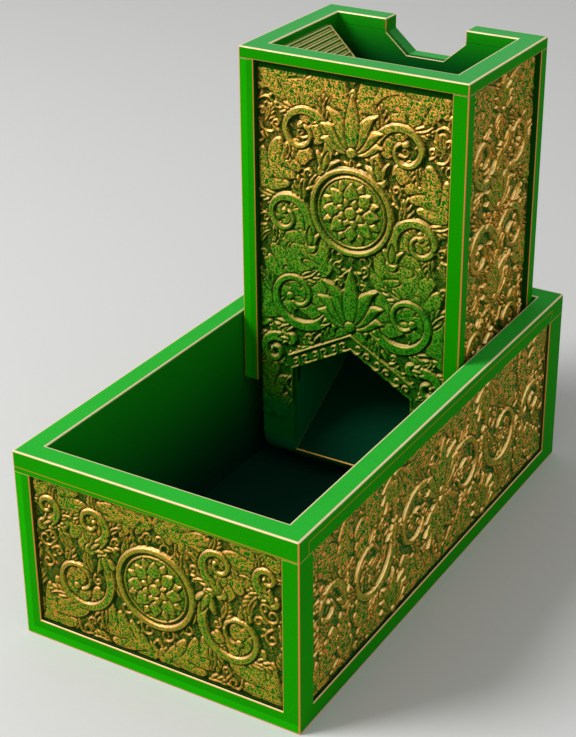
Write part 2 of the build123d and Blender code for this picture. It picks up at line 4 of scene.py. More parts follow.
import bmesh
import bpy
import numpy as np
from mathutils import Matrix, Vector


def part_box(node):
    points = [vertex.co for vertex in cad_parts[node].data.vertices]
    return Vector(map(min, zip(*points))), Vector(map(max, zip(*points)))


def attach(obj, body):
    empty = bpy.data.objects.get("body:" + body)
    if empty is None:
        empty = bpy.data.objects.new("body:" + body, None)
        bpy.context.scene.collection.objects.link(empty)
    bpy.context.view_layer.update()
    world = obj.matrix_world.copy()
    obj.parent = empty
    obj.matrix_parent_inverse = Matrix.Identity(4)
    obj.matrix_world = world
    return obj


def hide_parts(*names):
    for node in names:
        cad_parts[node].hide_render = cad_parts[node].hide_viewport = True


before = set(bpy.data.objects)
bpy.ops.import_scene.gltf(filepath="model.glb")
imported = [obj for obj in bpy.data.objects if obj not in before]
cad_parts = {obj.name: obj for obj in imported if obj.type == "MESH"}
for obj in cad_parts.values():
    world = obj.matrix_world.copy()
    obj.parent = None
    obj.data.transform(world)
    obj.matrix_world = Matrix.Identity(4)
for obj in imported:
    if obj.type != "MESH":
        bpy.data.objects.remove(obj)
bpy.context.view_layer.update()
mm = 0.001


def addObject(name, data):
    made = bpy.data.objects.new(name, data)
    bpy.context.scene.collection.objects.link(made)
    return made


# Camera

camera = {
    "place": (0.26919, -0.46201, 0.34805),
    "back": (0.45314, -0.78138, 0.42907),  # from what it looks at towards the camera
    "lens": 80.86,
    "sensor": 36,
    "near": 0.01,
    "shift": (-0.0382, -0.0779),
}


def addCamera(values):
    data = bpy.data.cameras.new("camera")
    data.lens = values["lens"]
    data.sensor_width = values["sensor"]
    data.shift_x, data.shift_y = values["shift"]
    data.clip_start = values["near"]
    seen = addObject("camera", data)
    seen.location = values["place"]
    seen.rotation_euler = Vector(values["back"]).to_track_quat("Z", "Y").to_euler()
    bpy.context.scene.camera = seen


addCamera(camera)
print("camera placed")

# Shader tools: each works in the node tree of the first socket among its values


def treeOf(*values):
    return next(value.id_data for value in values if isinstance(value, bpy.types.NodeSocket))


def put(tree, kind, feeds=None, **settings):
    # Adds a node; each feed is a number, a colour or another node's output
    made = tree.nodes.new("ShaderNode" + kind)
    for name, value in settings.items():
        setattr(made, name, value)
    for key, value in (feeds or {}).items():
        if isinstance(value, bpy.types.NodeSocket):
            tree.links.new(value, made.inputs[key])
        else:
            made.inputs[key].default_value = value
    return made


def connect(output, socket):
    output.id_data.links.new(output, socket)


def blend(share, first, second, way="MIX"):
    # share of the second colour over the first
    feeds = {0: share, 6: first, 7: second}
    return put(treeOf(share, first, second), "Mix", feeds, data_type="RGBA", blend_type=way).outputs[2]


def ramp(value, low, high, start=0.0, end=1.0):
    # start below low, end above high, and a smooth step between them
    feeds = {"Value": value, "From Min": low, "From Max": high, "To Min": start, "To Max": end}
    return put(value.id_data, "MapRange", feeds, interpolation_type="SMOOTHSTEP").outputs[0]


def reckon(way, *values):
    # Takes the values from the left, as in first - second - third
    result = values[0]
    for value in values[1:] or (0.0,):
        result = put(treeOf(result, value), "Math", {0: result, 1: value}, operation=way).outputs[0]
    return result


ways = ("ADD", "SUBTRACT", "MULTIPLY", "DIVIDE", "MAXIMUM", "MINIMUM", "ABSOLUTE", "POWER", "PINGPONG")
plus, minus, times, over, larger, smaller, absolute, power, zigzag = (partial(reckon, way) for way in ways)


def coordinates(tree):
    outputs = put(tree, "TexCoord").outputs
    return outputs["Object"], outputs["Normal"]


def split(vector):
    return put(vector.id_data, "SeparateXYZ", {0: vector}).outputs


def join(x, y, z):
    return put(treeOf(x, y, z), "CombineXYZ", {0: x, 1: y, 2: z}).outputs[0]


def noise(place, scale, detail, **more):
    feeds = {"Vector": place, "Scale": scale, "Detail": detail} | more
    return put(place.id_data, "TexNoise", feeds).outputs[0]


def newGroup(name, inputs, outputs):
    # inputs is {name: default value}, where a tuple is a colour, and outputs is {name: "Float" or "Color"}
    group = bpy.data.node_groups.new(name, "ShaderNodeTree")
    for label, value in inputs.items():
        kind = "NodeSocketColor" if isinstance(value, tuple) else "NodeSocketFloat"
        group.interface.new_socket(name=label, in_out="INPUT", socket_type=kind).default_value = value
    for label, kind in outputs.items():
        group.interface.new_socket(name=label, in_out="OUTPUT", socket_type="NodeSocket" + kind)
    given = group.nodes.new("NodeGroupInput").outputs
    result = group.nodes.new("NodeGroupOutput").inputs
    return group, given, result


def use(tree, group, **values):
    return put(tree, "Group", values, node_tree=group).outputs


def colour(red, green, blue):
    return (red, green, blue, 1.0)


# Fine grain of the print: a lighter and darker speckle that drifts slowly, and a height for the bump
grainValues = {"speckle": 2.0, "drift": (22.0, 3.0), "driftShare": 0.4}  # the drift's scale and detail
grainGroup, given, result = newGroup(
    "printGrain", {"Size": 0.5, "Amount": 0.1}, {"Shade": "Float", "Height": "Float"}
)
place = coordinates(grainGroup)[0]
fine = noise(place, over(1000.0, given["Size"]), grainValues["speckle"])
swing = times(minus(fine, 0.5), given["Amount"])
drift = minus(noise(place, *grainValues["drift"]), 0.5)
drift = times(drift, times(given["Amount"], grainValues["driftShare"]))
connect(plus(1.0, swing, drift), result["Shade"])
connect(fine, result["Height"])

# Painted top light: paint that is paler where the surface faces up, as if lit from above
tintValues = {"up": (0.3, 0.95)}  # how far up a face looks where it starts to pale, and where it has
tintGroup, given, result = newGroup(
    "topTint", {"Side": colour(0, 0.3, 0), "Top": colour(0.05, 0.5, 0.1), "Shade": 1.0}, {"Colour": "Color"}
)
up = split(coordinates(tintGroup)[1])[2]
tinted = blend(ramp(up, *tintValues["up"]), given["Side"], given["Top"])
shade = join(given["Shade"], given["Shade"], given["Shade"])
connect(blend(1.0, tinted, shade, "MULTIPLY"), result["Colour"])

# Rubbed gilding with a painted highlight: copper that turns to pale gold where the surface faces up, worn in patches
gildingValues = {
    "patch": (160.0, 3.0),  # scale and detail
    "soft": 0.2,  # how far on each side of Turn the colours blend
    "rough": (-0.1, 0.1, 0.5, 0.38),
}
giltGroup, given, result = newGroup(
    "gildingWithHighlight",
    {"Copper": colour(0.7, 0.25, 0.07), "Pale": colour(1, 0.9, 0.6), "Turn": 0.45, "Patches": 0.4},
    {"Colour": "Color", "Roughness": "Float"},
)
place, facing = coordinates(giltGroup)
up = split(facing)[2]
patch = times(minus(noise(place, *gildingValues["patch"]), 0.5), given["Patches"])
least, most = minus(given["Turn"], gildingValues["soft"]), plus(given["Turn"], gildingValues["soft"])
connect(blend(ramp(plus(up, patch), least, most), given["Copper"], given["Pale"]), result["Colour"])
connect(ramp(patch, *gildingValues["rough"]), result["Roughness"])

# Pebbled skin: the lines where a noise of about Cell millimetres crosses its middle, which
# wander like the grooves of fine leather; below 1, Squeeze draws them out along Y
skinValues = {
    "detail": 1.5,
    "bend": 0.6,
    "crisp": 0.85,  # share of Width from which a vein's edge fades
    "groove": 0.12,  # how far from the middle of the noise the height rises
}
skinGroup, given, result = newGroup(
    "pebbledSkin", {"Cell": 0.9, "Width": 0.07, "Squeeze": 1.0}, {"Vein": "Float", "Height": "Float"}
)
x, y, z = split(coordinates(skinGroup)[0])
place = join(x, times(y, given["Squeeze"]), z)
worms = noise(place, over(1000.0, given["Cell"]), skinValues["detail"], Distortion=skinValues["bend"])
away = absolute(minus(worms, 0.5))
connect(ramp(away, times(given["Width"], skinValues["crisp"]), given["Width"], 1.0, 0.0), result["Vein"])
connect(ramp(away, 0.0, skinValues["groove"], 1.0, 0.0), result["Height"])
print("shader groups built")


def newMaterial(name, specular):
    made = bpy.data.materials.new(name)
    made.use_nodes = True
    tree = made.node_tree
    shader = tree.nodes["Principled BSDF"]
    shader.inputs["Specular IOR Level"].default_value = specular
    return made, tree, shader


def coat(shader, painted, roughness, height, bump):
    # Colour, roughness and a bump, given as its strength and its distance in metres
    connect(painted, shader.inputs["Base Color"])
    connect(roughness, shader.inputs["Roughness"])
    raised = put(height.id_data, "Bump", {"Height": height, "Strength": bump[0], "Distance": bump[1]})
    connect(raised.outputs[0], shader.inputs["Normal"])


def fromBorder(first, second, middle, reach):
    # The distance from a rectangle's border, of two coordinates
    across = minus(absolute(minus(first, middle[0])), reach[0])
    along = minus(absolute(minus(second, middle[1])), reach[1])
    return absolute(larger(across, along))


# Green paint of the frames, with the fine grain of the print
framePaintValues = {
    "side": colour(0.008, 0.30, 0.0),
    # top is painted top light: a paler mint green where a face looks up
    "top": colour(0.055, 0.42, 0.085),
    "grain": 0.5,  # millimetres
    "amount": 0.5,
    "specular": 0.012,
    "rough": (0.3, 0.7, 0.4, 0.52),  # two heights of the grain, and the roughness at each
    "bump": (0.12, 0.0001),  # strength, and distance in metres
    "soft": 0.0004,  # edge of the band of painted light
    "drawn": (0.00008, 0.00022),  # half a copper line's width, and where its edge ends
    "ruled": (0.00012, 0.00024),  # the same of a pale line on the top
    "wearAndHighlight": (0.3, 0.6, 0.4, 1.0),  # of the grain, the share of the copper that is left
    "front": (-0.8, -0.95),  # how far ahead, aside or up a face looks that has a line
    "flank": (0.8, 0.95),
    # lit: how far ahead a face looks that has the band of painted light
    "lit": (-0.6, -0.9),
}


def framePaint(name, changes):
    values = framePaintValues | changes
    made, tree, shader = newMaterial(name, values["specular"])
    grain = use(tree, grainGroup, Size=values["grain"], Amount=values["amount"])
    place, facing = coordinates(tree)
    x, y, z = split(place)
    aside, ahead, up = split(facing)
    shade = grain["Shade"]
    if "band" in values:
        # Painted light: lighter on the front, left of one line and below another
        left, base, lift = values["band"]
        outer = larger(ramp(x, left + values["soft"], left), ramp(z, base + values["soft"], base))
        outer = times(outer, ramp(ahead, *values["lit"]))
        shade = times(shade, ramp(outer, 0.0, 1.0, 1.0, lift))
    painted = use(tree, tintGroup, Side=values["side"], Top=values["top"], Shade=shade)["Colour"]
    if "inlay" in values:
        # A copper rectangle on the two long sides
        middle, reach, share = values["inlay"]
        wearAndHighlight = times(ramp(grain["Height"], *values["wearAndHighlight"]), ramp(absolute(aside), *values["flank"]))
        line = ramp(fromBorder(y, z, middle, reach), *values["drawn"], share, 0.0)
        painted = blend(times(line, wearAndHighlight), painted, values["inlaid"])
    if "score" in values:
        # A copper line across the front, at a level and a slope
        level, slope, share = values["score"]
        gap = absolute(minus(times(x, slope), minus(z, level)))
        line = times(ramp(gap, *values["drawn"], share, 0.0), ramp(ahead, *values["front"]))
        painted = blend(line, painted, values["inlaid"])
    if "lining" in values:
        # A pale rectangle inside each edge of the top
        inner, outer = (fromBorder(x, y, *border) for border in values["lining"])
        line = ramp(smaller(inner, outer), *values["ruled"], 1.0, 0.0)
        painted = blend(times(line, ramp(up, *values["flank"])), painted, values["lined"])
    coat(shader, painted, ramp(grain["Height"], *values["rough"]), grain["Height"], values["bump"])
    return made


# Green inside the tray and the chute, darkened towards the floor by painted shade
innerPaintValues = {
    "high": colour(0.006, 0.34, 0.008),
    "low": colour(0.001, 0.038, 0.022),
    "specular": 0.1,
    "from": 0.004,  # heights over which the painted shade fades out
    "to": 0.075,
    "grain": 0.5,
    "amount": 0.4,
    "rough": (0.3, 0.7, 0.5, 0.62),
    "bump": (0.12, 0.0001),
    "patch": (320.0, 2.0),  # the gilded lines' wear, and the share of it that is left
    "kept": (0.22, 0.38),
    "drawn": (0.00046, 0.00030),  # where a gilded line's edge ends, and half its width
    "open": (-0.4, -0.2),  # no line on the underside, or on the faces to the front and back
    "flank": (0.6, 0.4),
}


def innerPaint(name, changes):
    values = innerPaintValues | changes
    made, tree, shader = newMaterial(name, values["specular"])
    grain = use(tree, grainGroup, Size=values["grain"], Amount=values["amount"])
    place, facing = coordinates(tree)
    x, y, z = split(place)
    rise = ramp(z, values["from"], values["to"])
    deep = blend(rise, values["low"], values["high"])
    # On the side faces the foot can take its own colour, less darkened by the painted shade
    walls = blend(rise, values.get("walls", values["low"]), values["high"])
    painted = use(tree, tintGroup, Side=walls, Top=deep, Shade=grain["Shade"])["Colour"]
    if "hatch" in values:
        # Fine gilded lines across the stair, at even steps down its slope, worn in patches
        side, start, tread = values["hatch"]
        aside, ahead, up = split(facing)
        gap = zigzag(minus(times(x, -side), z, start), tread / 2)
        line = times(ramp(gap, *values["drawn"]), ramp(noise(place, *values["patch"]), *values["kept"]))
        bare = times(ramp(up, *values["open"]), ramp(absolute(ahead), *values["flank"]))
        painted = blend(times(line, bare), painted, values["gilt"])
    coat(shader, painted, ramp(grain["Height"], *values["rough"]), grain["Height"], values["bump"])
    return made


# Copper rubbed on the edges, with pale gold painted on as a highlight where they face up
edgeGiltValues = {
    "copper": colour(0.85, 0.27, 0.05),
    "pale": colour(1.0, 0.86, 0.50),
    "turn": 0.35,
    "patches": 0.3,
    "specular": 0.4,
    "metallic": 0.15,
}


def edgeGilt(name, changes):
    values = edgeGiltValues | changes
    made, tree, shader = newMaterial(name, values["specular"])
    gilt = use(
        tree, giltGroup, Copper=values["copper"], Pale=values["pale"], Turn=values["turn"], Patches=values["patches"]
    )
    connect(gilt["Colour"], shader.inputs["Base Color"])
    connect(gilt["Roughness"], shader.inputs["Roughness"])
    shader.inputs["Metallic"].default_value = values["metallic"]
    return made


# Carved panels: green under a network of copper veins, whose share is the form's tone; gold and pale gold painted as
# highlights on the edges that face up and towards the light; and painted shade, a dark green, in the recesses and
# under the edges
carvedPaintValues = {
    "cell": 1.05,  # millimetres
    "width": 0.046,
    "squeeze": 1.0,
    "veins": 1.4,
    "toned": 0.6,  # power of the tone
    "crest": 0.25,  # share of copper on the crests
    "furrow": 0.65,  # share of the painted shade in the grooves of the skin
    "green": colour(0.006, 0.31, 0.005),
    "copper": colour(1.0, 0.38, 0.08),
    # The painted highlights: gold, then pale gold
    "gold": colour(0.80, 0.42, 0.09),
    "pale": colour(0.95, 0.68, 0.30),
    # The colour of the painted shade
    "paintedShade": colour(0.001, 0.030, 0.002),
    "dark": 0.95,  # share of the painted shade in the recesses and under the edges
    "fade": (0.075, 0.172, 0.10),  # heights between which the copper veins and painted highlights grow, and their share below them
    "patch": (60.0, 2.0),  # the network's wear, and the share of it that is left
    "kept": (0.3, 0.6, 0.6, 1.0),
    "wearAndHighlight": 0.4,  # share of the painted highlights where the gilding is least
    "slim": 1.0,  # share of the painted highlights away from the crests
    "plain": (),  # bands painted over: the heights between which each sets in, and its colour
    "shine": (0.24, 0.46, 0.70),  # slopes towards the light at which the painted highlight turns gold, and pale
    "under": (-0.2, -0.5),  # slopes away from the light at which the painted shade sets in
    "grain": 0.4,
    "amount": 0.8,
    "specular": 0.03,
    "rough": (0.6, 0.4),
    "metallic": (0.5, 0.8),  # of the veins and of the bright edges
    "roughen": 0.3,  # share of the grain in the bump
    "bump": (0.6, 0.00015),
}


def carvedPaint(name, changes):
    values = carvedPaintValues | changes
    made, tree, shader = newMaterial(name, values["specular"])
    gilt, depth, tone, shine = (
        put(tree, "Attribute", attribute_name=label).outputs["Fac"] for label in ("gilt", "depth", "tone", "shine")
    )
    skin = use(tree, skinGroup, Cell=values["cell"], Width=values["width"], Squeeze=values["squeeze"])
    grain = use(tree, grainGroup, Size=values["grain"], Amount=values["amount"])
    place = coordinates(tree)[0]
    height = split(place)[2]
    low, high, least = values["fade"]
    # A share that grows with height between the fade's heights; the veins, the crests' copper and the painted
    # highlights follow it
    heightShare = ramp(height, low, high, least, 1.0)
    patch = times(ramp(noise(place, *values["patch"]), *values["kept"]), heightShare)
    share = times(power(tone, values["toned"]), times(patch, values["veins"]))
    veined = smaller(times(skin["Vein"], share), 1.0)
    crest = times(gilt, times(heightShare, values["crest"]))
    painted = use(tree, tintGroup, Side=values["green"], Top=values["green"], Shade=grain["Shade"])["Colour"]
    # Painted shade in the grooves of the skin
    painted = blend(times(ramp(skin["Height"], 0.5, 0.0), values["furrow"]), painted, values["paintedShade"])
    painted = blend(larger(veined, crest), painted, values["copper"])
    # Painted shade in the recesses and on the slopes facing away from the light
    shadow = larger(depth, ramp(shine, *values["under"]))
    painted = blend(times(shadow, values["dark"]), painted, values["paintedShade"])
    # Painted highlights, gold then pale gold, on the slopes facing up and towards the light
    wearAndHighlight = times(ramp(heightShare, 0.0, 1.0, values["wearAndHighlight"], 1.0), ramp(gilt, 0.0, 1.0, values["slim"], 1.0))
    least, middle, most = values["shine"]
    bright = times(ramp(shine, least, middle), wearAndHighlight)
    painted = blend(bright, painted, values["gold"])
    painted = blend(times(ramp(shine, middle, most), wearAndHighlight), painted, values["pale"])
    metal = larger(times(veined, values["metallic"][0]), times(bright, values["metallic"][1]))
    for start, end, shade in values["plain"]:
        bare = ramp(height, start, end)
        painted = blend(bare, painted, shade)
        metal = times(metal, minus(1.0, bare))
    connect(metal, shader.inputs["Metallic"])
    rise = plus(skin["Height"], times(grain["Height"], values["roughen"]))
    coat(shader, painted, ramp(bright, 0.0, 1.0, *values["rough"]), rise, values["bump"])
    return made


pinPaint = framePaint("greenPaint", {})
# Painted light: a lighter band at the left edge of the tray and tower fronts, and at the tray's foot
trayPaint = framePaint("trayPaint", {"band": (-0.0522, 0.0032, 1.35)})
towerPaint = framePaint("towerPaint", {"band": (-0.0430, -1.0, 1.3)})
paleLine = colour(0.85, 0.72, 0.40)
railPaint = framePaint("railPaint", {
    # The rail's paler top is painted top light
    "top": colour(0.030, 0.50, 0.040),
    "inlay": ((-0.0025, 0.0668), (0.0945, 0.0026), 0.8),
    "score": (0.0658, -0.014, 0.7),
    "inlaid": colour(0.62, 0.20, 0.03),
    "lining": (((0.0, 0.0), (0.04750, 0.09550)), ((0.0, 0.0), (0.05450, 0.10250))),
    "lined": paleLine,
})
mouthPaint = framePaint("mouthPaint", {
    "lining": (((0.0, 0.05905), (0.03810, 0.02565)), ((0.0, 0.05905), (0.04550, 0.03305))),
    "lined": paleLine,
})
# Painted shade: the reveals round the panels are a dark green, as if in shadow
revealShade = framePaint("revealShade", {"side": colour(0.001, 0.075, 0.002), "top": colour(0.001, 0.05, 0.006)})
# Painted shade darkens each of these towards its foot, between its own heights; the ramp's walls are less darkened
trayInside = innerPaint("trayInside", {})
rampPaint = innerPaint("rampPaint", {
    "from": 0.032, "to": 0.066, "specular": 0.03,
    "high": colour(0.002, 0.18, 0.035), "low": colour(0.0, 0.036, 0.016), "walls": colour(0.0, 0.20, 0.06),
})
chuteInside = innerPaint("chuteInside", {
    "from": 0.158, "to": 0.184, "specular": 0.03,
    "high": colour(0.010, 0.36, 0.003), "low": colour(0.001, 0.060, 0.010),
})
goldEdge = edgeGilt("goldEdge", {})
dullEdge = edgeGilt("dullEdge", {"pale": colour(0.85, 0.56, 0.24)})
lipEdge = edgeGilt("lipEdge", {"copper": colour(1.0, 0.48, 0.06), "turn": 1.5})
stairEdge = edgeGilt("stairEdge", {"copper": colour(1.0, 0.62, 0.14), "pale": colour(1.0, 0.88, 0.42)})

# The front panel's plain foot, and a painted shadow under the rim: a dark strip
footAndShadowBands = ((0.040, 0.034, colour(0.001, 0.17, 0.020)), (0.1710, 0.1714, colour(0.001, 0.05, 0.001)))
towerCarving = carvedPaint("towerCarving", {"plain": footAndShadowBands})
dullGilding = {
    "gold": colour(0.66, 0.32, 0.07), "pale": colour(0.80, 0.52, 0.22), "copper": colour(0.72, 0.25, 0.04),
    "fade": (0.0, 0.01, 1.0), "veins": 0.95, "crest": 0.3, "slim": 0.7,
}
trayCarving = carvedPaint("trayCarving", dullGilding)
# The side panels' paint is lighter throughout, painted to make up for the shade that falls on the sides
sideCarving = carvedPaint("sideCarving", dullGilding | {
    "gold": colour(1.0, 0.50, 0.10), "pale": colour(1.0, 0.76, 0.28), "copper": colour(1.0, 0.29, 0.065),
    "green": colour(0.004, 0.35, 0.010), "paintedShade": colour(0.001, 0.08, 0.008),
    "cell": 1.2, "width": 0.038, "squeeze": 0.62, "veins": 1.3, "slim": 0.45, "shine": (0.42, 0.58, 0.80),
})

# The stairs' gilded treads, counted down from each stair's top, and darkened downwards by painted shade
stair = {
    "reach": 45.0 * mm, "tread": 1.5 * mm, "gilt": colour(1.0, 0.82, 0.36),
    "high": colour(0.010, 0.26, 0.008), "low": colour(0.002, 0.08, 0.008),
    "sides": {"upper": -1, "lower": 1},  # the side of the chute that each stands on
    "thick": 0.7, "wide": 0.45,  # of the trim along its back edge, millimetres
}


def stairTip(name):
    # How far the stair comes towards the middle, and its box
    low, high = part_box(name + "_baffle")
    side = stair["sides"][name]
    return side, -side * (high if side < 0 else low).x, high


treads = {}
for name in stair["sides"]:
    side, tip, high = stairTip(name)
    treads[name] = innerPaint(name + "Treads", {
        "from": high.z - stair["reach"], "to": high.z, "high": stair["high"], "low": stair["low"],
        "hatch": (side, tip - stair["reach"] - high.z, stair["tread"]), "gilt": stair["gilt"],
    })
print("materials built")

# Frames: copies of the solids whose outer edges are rubbed with gold

frameValues = {
    "slot": "frame_green",
    "edge": 0.4,  # width of the gilded bevel, millimetres
    "seams": {},  # levels of the seams between pieces, and the most of the bevel that is left there
    "paint": lambda place, normal: 0,  # which of the materials a face has
    "share": lambda place: 1.0,  # how much of the bevel an edge has
    "gilding": goldEdge,
}
gilder = {
    "weld": 1e-6,  # metres within which points join
    "flat": 0.5,  # degrees within which faces join, and beyond which an edge is gilded
    "sharp": 30.0,
    "level": 1e-5,  # metres within which an edge runs level, and lies on a seam
    "near": 2e-4,
    "segments": 2,
}


def gildedCopy(node, values):
    # The node's mesh with its flat faces joined, a narrow bevel on each sharp outer edge, and
    # the gold on the bevels
    work = bmesh.new()
    work.from_mesh(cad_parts[node].data)
    bmesh.ops.remove_doubles(work, verts=work.verts, dist=gilder["weld"])
    bmesh.ops.dissolve_limit(
        work, angle_limit=math.radians(gilder["flat"]), verts=work.verts, edges=work.edges, delimit={"NORMAL"}
    )
    weight = work.edges.layers.float.new("bevel_weight_edge")
    sharp = math.radians(gilder["sharp"])
    for edge in work.edges:
        if len(edge.link_faces) == 2 and edge.is_convex and edge.calc_face_angle() > sharp:
            first, last = (corner.co for corner in edge.verts)
            middle = (first + last) / 2
            share = values["share"](middle / mm)
            for level, most in values["seams"].items():
                if abs(first.z - last.z) < gilder["level"] and abs(middle.z - level * mm) < gilder["near"]:
                    share = min(share, most)
            edge[weight] = share
    for face in work.faces:
        face.material_index = values["paint"](face.calc_center_median() / mm, face.normal)
    mesh = bpy.data.meshes.new(node + "_gilded")
    work.to_mesh(mesh)
    work.free()
    for material in (*values["materials"], values["gilding"]):
        mesh.materials.append(material)
    piece = addObject(node + "_gilded", mesh)
    bevel = piece.modifiers.new("goldEdges", "BEVEL")
    bevel.limit_method = "WEIGHT"
    bevel.width = values["edge"] * mm
    bevel.segments = gilder["segments"]
    bevel.material = len(values["materials"])
    bevel.use_clamp_overlap = False
    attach(piece, values["body"])
    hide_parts(node)


# Rectangles on the plan, millimetres: the y of the middle, and how far each reaches in x and y
plan = {
    "well": (0.0, 47.1, 95.1),
    "trayWall": (0.0, 54.5, 102.5),
    "trayCorner": (0.0, 54.9, 102.9),
    "bore": (59.05, 37.7, 25.25),
    "chute": (59.05, 37.7, 25.3),
    "towerWall": (59.05, 45.5, 33.2),
    "towerCorner": (59.05, 45.9, 33.5),
    "notch": (86.5, 17.0, 1.5),
    "notchWall": (93.0, 17.0, 10.0),
}
# Heights, and the heights between which something lies, millimetres
levels = {"underFloor": 4, "floor": 5, "rail": 72, "foot": 45, "window": 46, "notch": 160, "rim": 175}
spans = {"trayWindow": (1, 64.5), "trayPost": (7, 64), "notch": (160, 174)}
thin = {"trayPost": 0.7, "towerPost": 0.65, "ramp": 0.4}  # share of the bevel on the thinner edges
upwards = 0.9  # the least a face that lies flat looks up
rampSide = 20.0  # x of the ramp's side edges and beyond, millimetres


def within(place, name):
    middle, across, along = plan[name]
    return abs(place.x) < across and abs(place.y - middle) < along


def beyond(place, name):
    # Outside the rectangle in both directions, as a corner is
    middle, across, along = plan[name]
    return abs(place.x) > across and abs(place.y - middle) > along


def between(place, name):
    low, high = spans[name]
    return low < place.z < high


def insideWell(place, normal):
    # 1 in the well, 2 on the reveals round the panels
    above = place.z > levels["underFloor"]
    if within(place, "well") and above and (normal.z < upwards or place.z < levels["floor"]):
        return 1
    return 2 if within(place, "trayWall") and between(place, "trayWindow") else 0


def insideBore(place, normal):
    return 1 if within(place, "bore") and normal.z < upwards else 0


def insideWindow(place, normal):
    return 1 if within(place, "towerWall") and place.z > levels["window"] else 0


def trayShare(place):
    # No gold inside the well; a thinner line beside the panels
    if within(place, "well"):
        return 1.0 if place.z > levels["rail"] else 0.0
    return thin["trayPost"] if between(place, "trayPost") and not beyond(place, "trayCorner") else 1.0


def towerShare(place):
    # None where the rim and the frame meet the chute, or at the foot; thinner beside the panels
    if within(place, "chute") and place.z < levels["rim"]:
        return 0.0
    if within(place, "notch") and place.z > levels["notch"] or place.z < levels["foot"]:
        return 0.0
    return 1.0 if beyond(place, "towerCorner") or place.z > levels["rim"] else thin["towerPost"]


def rampShare(place):
    # A thin line along the sides
    return thin["ramp"] if abs(place.x) > rampSide else 1.0


def chuteShare(place):
    # Only the finger notch, below the rim
    return 1.0 if within(place, "notchWall") and between(place, "notch") else 0.0


trayFrame = {"body": "tray", "paint": insideWell, "share": trayShare}
towerFrame = {"body": "tower", "share": towerShare}
boss = {"body": "tray", "edge": 0.25, "materials": (trayInside,)}
inner = {"body": "tower", "slot": "chute_green"}
baffle = {"body": "tower", "slot": "baffle", "edge": 0.22, "gilding": stairEdge}
frames = {
    "tray_body": trayFrame | {
        "seams": {64.6: 0.12}, "materials": (trayPaint, trayInside, revealShade), "gilding": dullEdge,
    },
    "tray_rim": trayFrame | {"seams": {64.6: 0.3}, "materials": (railPaint, trayInside, railPaint)},
    "hinge_boss_left": boss,
    "hinge_boss_right": boss,
    "tower_frame": towerFrame | {
        "seams": {174.11: 0.12}, "paint": insideWindow, "materials": (towerPaint, revealShade),
    },
    "tower_rim": towerFrame | {"seams": {174.21: 0.6}, "paint": insideBore, "materials": (mouthPaint, chuteInside)},
    "tower_foot": inner | {"edge": 0.3, "materials": (rampPaint,), "gilding": rampPaint},
    "exit_ramp": inner | {"share": rampShare, "materials": (rampPaint,), "gilding": lipEdge},
    "tower_chute": inner | {"edge": 0.2, "share": chuteShare, "materials": (chuteInside,)},
    "upper_baffle": baffle | {"materials": (treads["upper"],)},
    "lower_baffle": baffle | {"materials": (treads["lower"],)},
}
for node, values in frames.items():
    gildedCopy(node, frameValues | values)


def stairTrim(name):
    # A bar along the line through the stair's outer corners, at its back end
    side, tip, high = stairTip(name)
    start = Vector((tip - stair["reach"] + stair["tread"], high.z))
    end = Vector((tip, high.z - stair["reach"] + stair["tread"]))
    thick = (end - start).orthogonal().normalized() * stair["thick"] * mm
    thick = thick if thick.y < 0 else -thick
    section = (start, end, end + thick, start + thick)
    points = [(-side * p.x, y, p.y) for y in (high.y - stair["wide"] * mm, high.y) for p in section]
    sides = [(k, k + 4, (k + 1) % 4 + 4, (k + 1) % 4) for k in range(4)]
    mesh = bpy.data.meshes.new(name + "_baffle_trim")
    mesh.from_pydata(points, [], [(0, 1, 2, 3), (7, 6, 5, 4), *sides])
    work = bmesh.new()
    work.from_mesh(mesh)
    bmesh.ops.recalc_face_normals(work, faces=work.faces)
    work.to_mesh(mesh)
    work.free()
    mesh.materials.append(stairEdge)
    piece = addObject(name + "_baffle_trim", mesh)
    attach(piece, "tower")


for name in stair["sides"]:
    stairTrim(name)
for side in ("left", "right"):
    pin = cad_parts["pivot_pin_" + side]
    pin.data.materials.clear()
    pin.data.materials.append(pinPaint)
print("frames gilded")

# Carving: a canvas holds a height in millimetres at each point of a grid over half a panel,
# and each form is laid over what is already there

# Share of the copper veins on each kind of form
tones = {
    "ground": 1.0, "fronds": 0.8, "fans": 0.6, "stems": 0.4,
    "palmettes": 0.45, "disc": 0.5, "petals": 0.35, "edging": 0.5,
}
spacing = 0.5  # millimetres between the samples of a line


def newCanvas(across, up, step, seed):
    xs = np.arange(0, across + step, step)
    zs = np.arange(up[0], up[1] + step, step)
    x, z = np.meshgrid(xs, zs)
    fields = {"height": np.zeros(x.shape), "tone": np.ones(x.shape), "brush": tones["ground"]}
    return fields | {"x": x, "z": z, "xs": xs, "zs": zs, "step": step, "random": np.random.default_rng(seed)}


def smooth(low, high, value):
    # 0 below low, 1 above high, and 3 t^2 - 2 t^3 between
    share = np.clip((value - low) / (high - low), 0, 1)
    return share * share * (3 - 2 * share)


def hump(value, width):
    # 1 at 0, and falls off to both sides as e to the power of minus (value / width)^2
    return np.exp(-((value / width) ** 2))


def dome(out, drop, power=2):
    # 1 in the middle, and falls as the root of 1 less a drop times the share outwards to a power
    return np.sqrt(1 - drop * np.clip(out, 0, 1) ** power)


def direction(heading):
    return Vector((math.cos(math.radians(heading)), math.sin(math.radians(heading))))


def tendril(start, heading, length, bends=(0.0, 0.0), power=1.0):
    # A line whose direction is the sum of its bend, in radians a millimetre, which goes from
    # the first bend to the second as the share of the length to a power
    share = np.linspace(0, 1, max(14, int(length / spacing)))
    step = length * (share[1] - share[0])
    angle = math.radians(heading) + np.cumsum(bends[0] + (bends[1] - bends[0]) * share**power) * step
    x = start[0] + np.cumsum(np.cos(angle)) * step
    z = start[1] + np.cumsum(np.sin(angle)) * step
    return {"x": x, "z": z, "angle": angle, "share": share, "length": length}


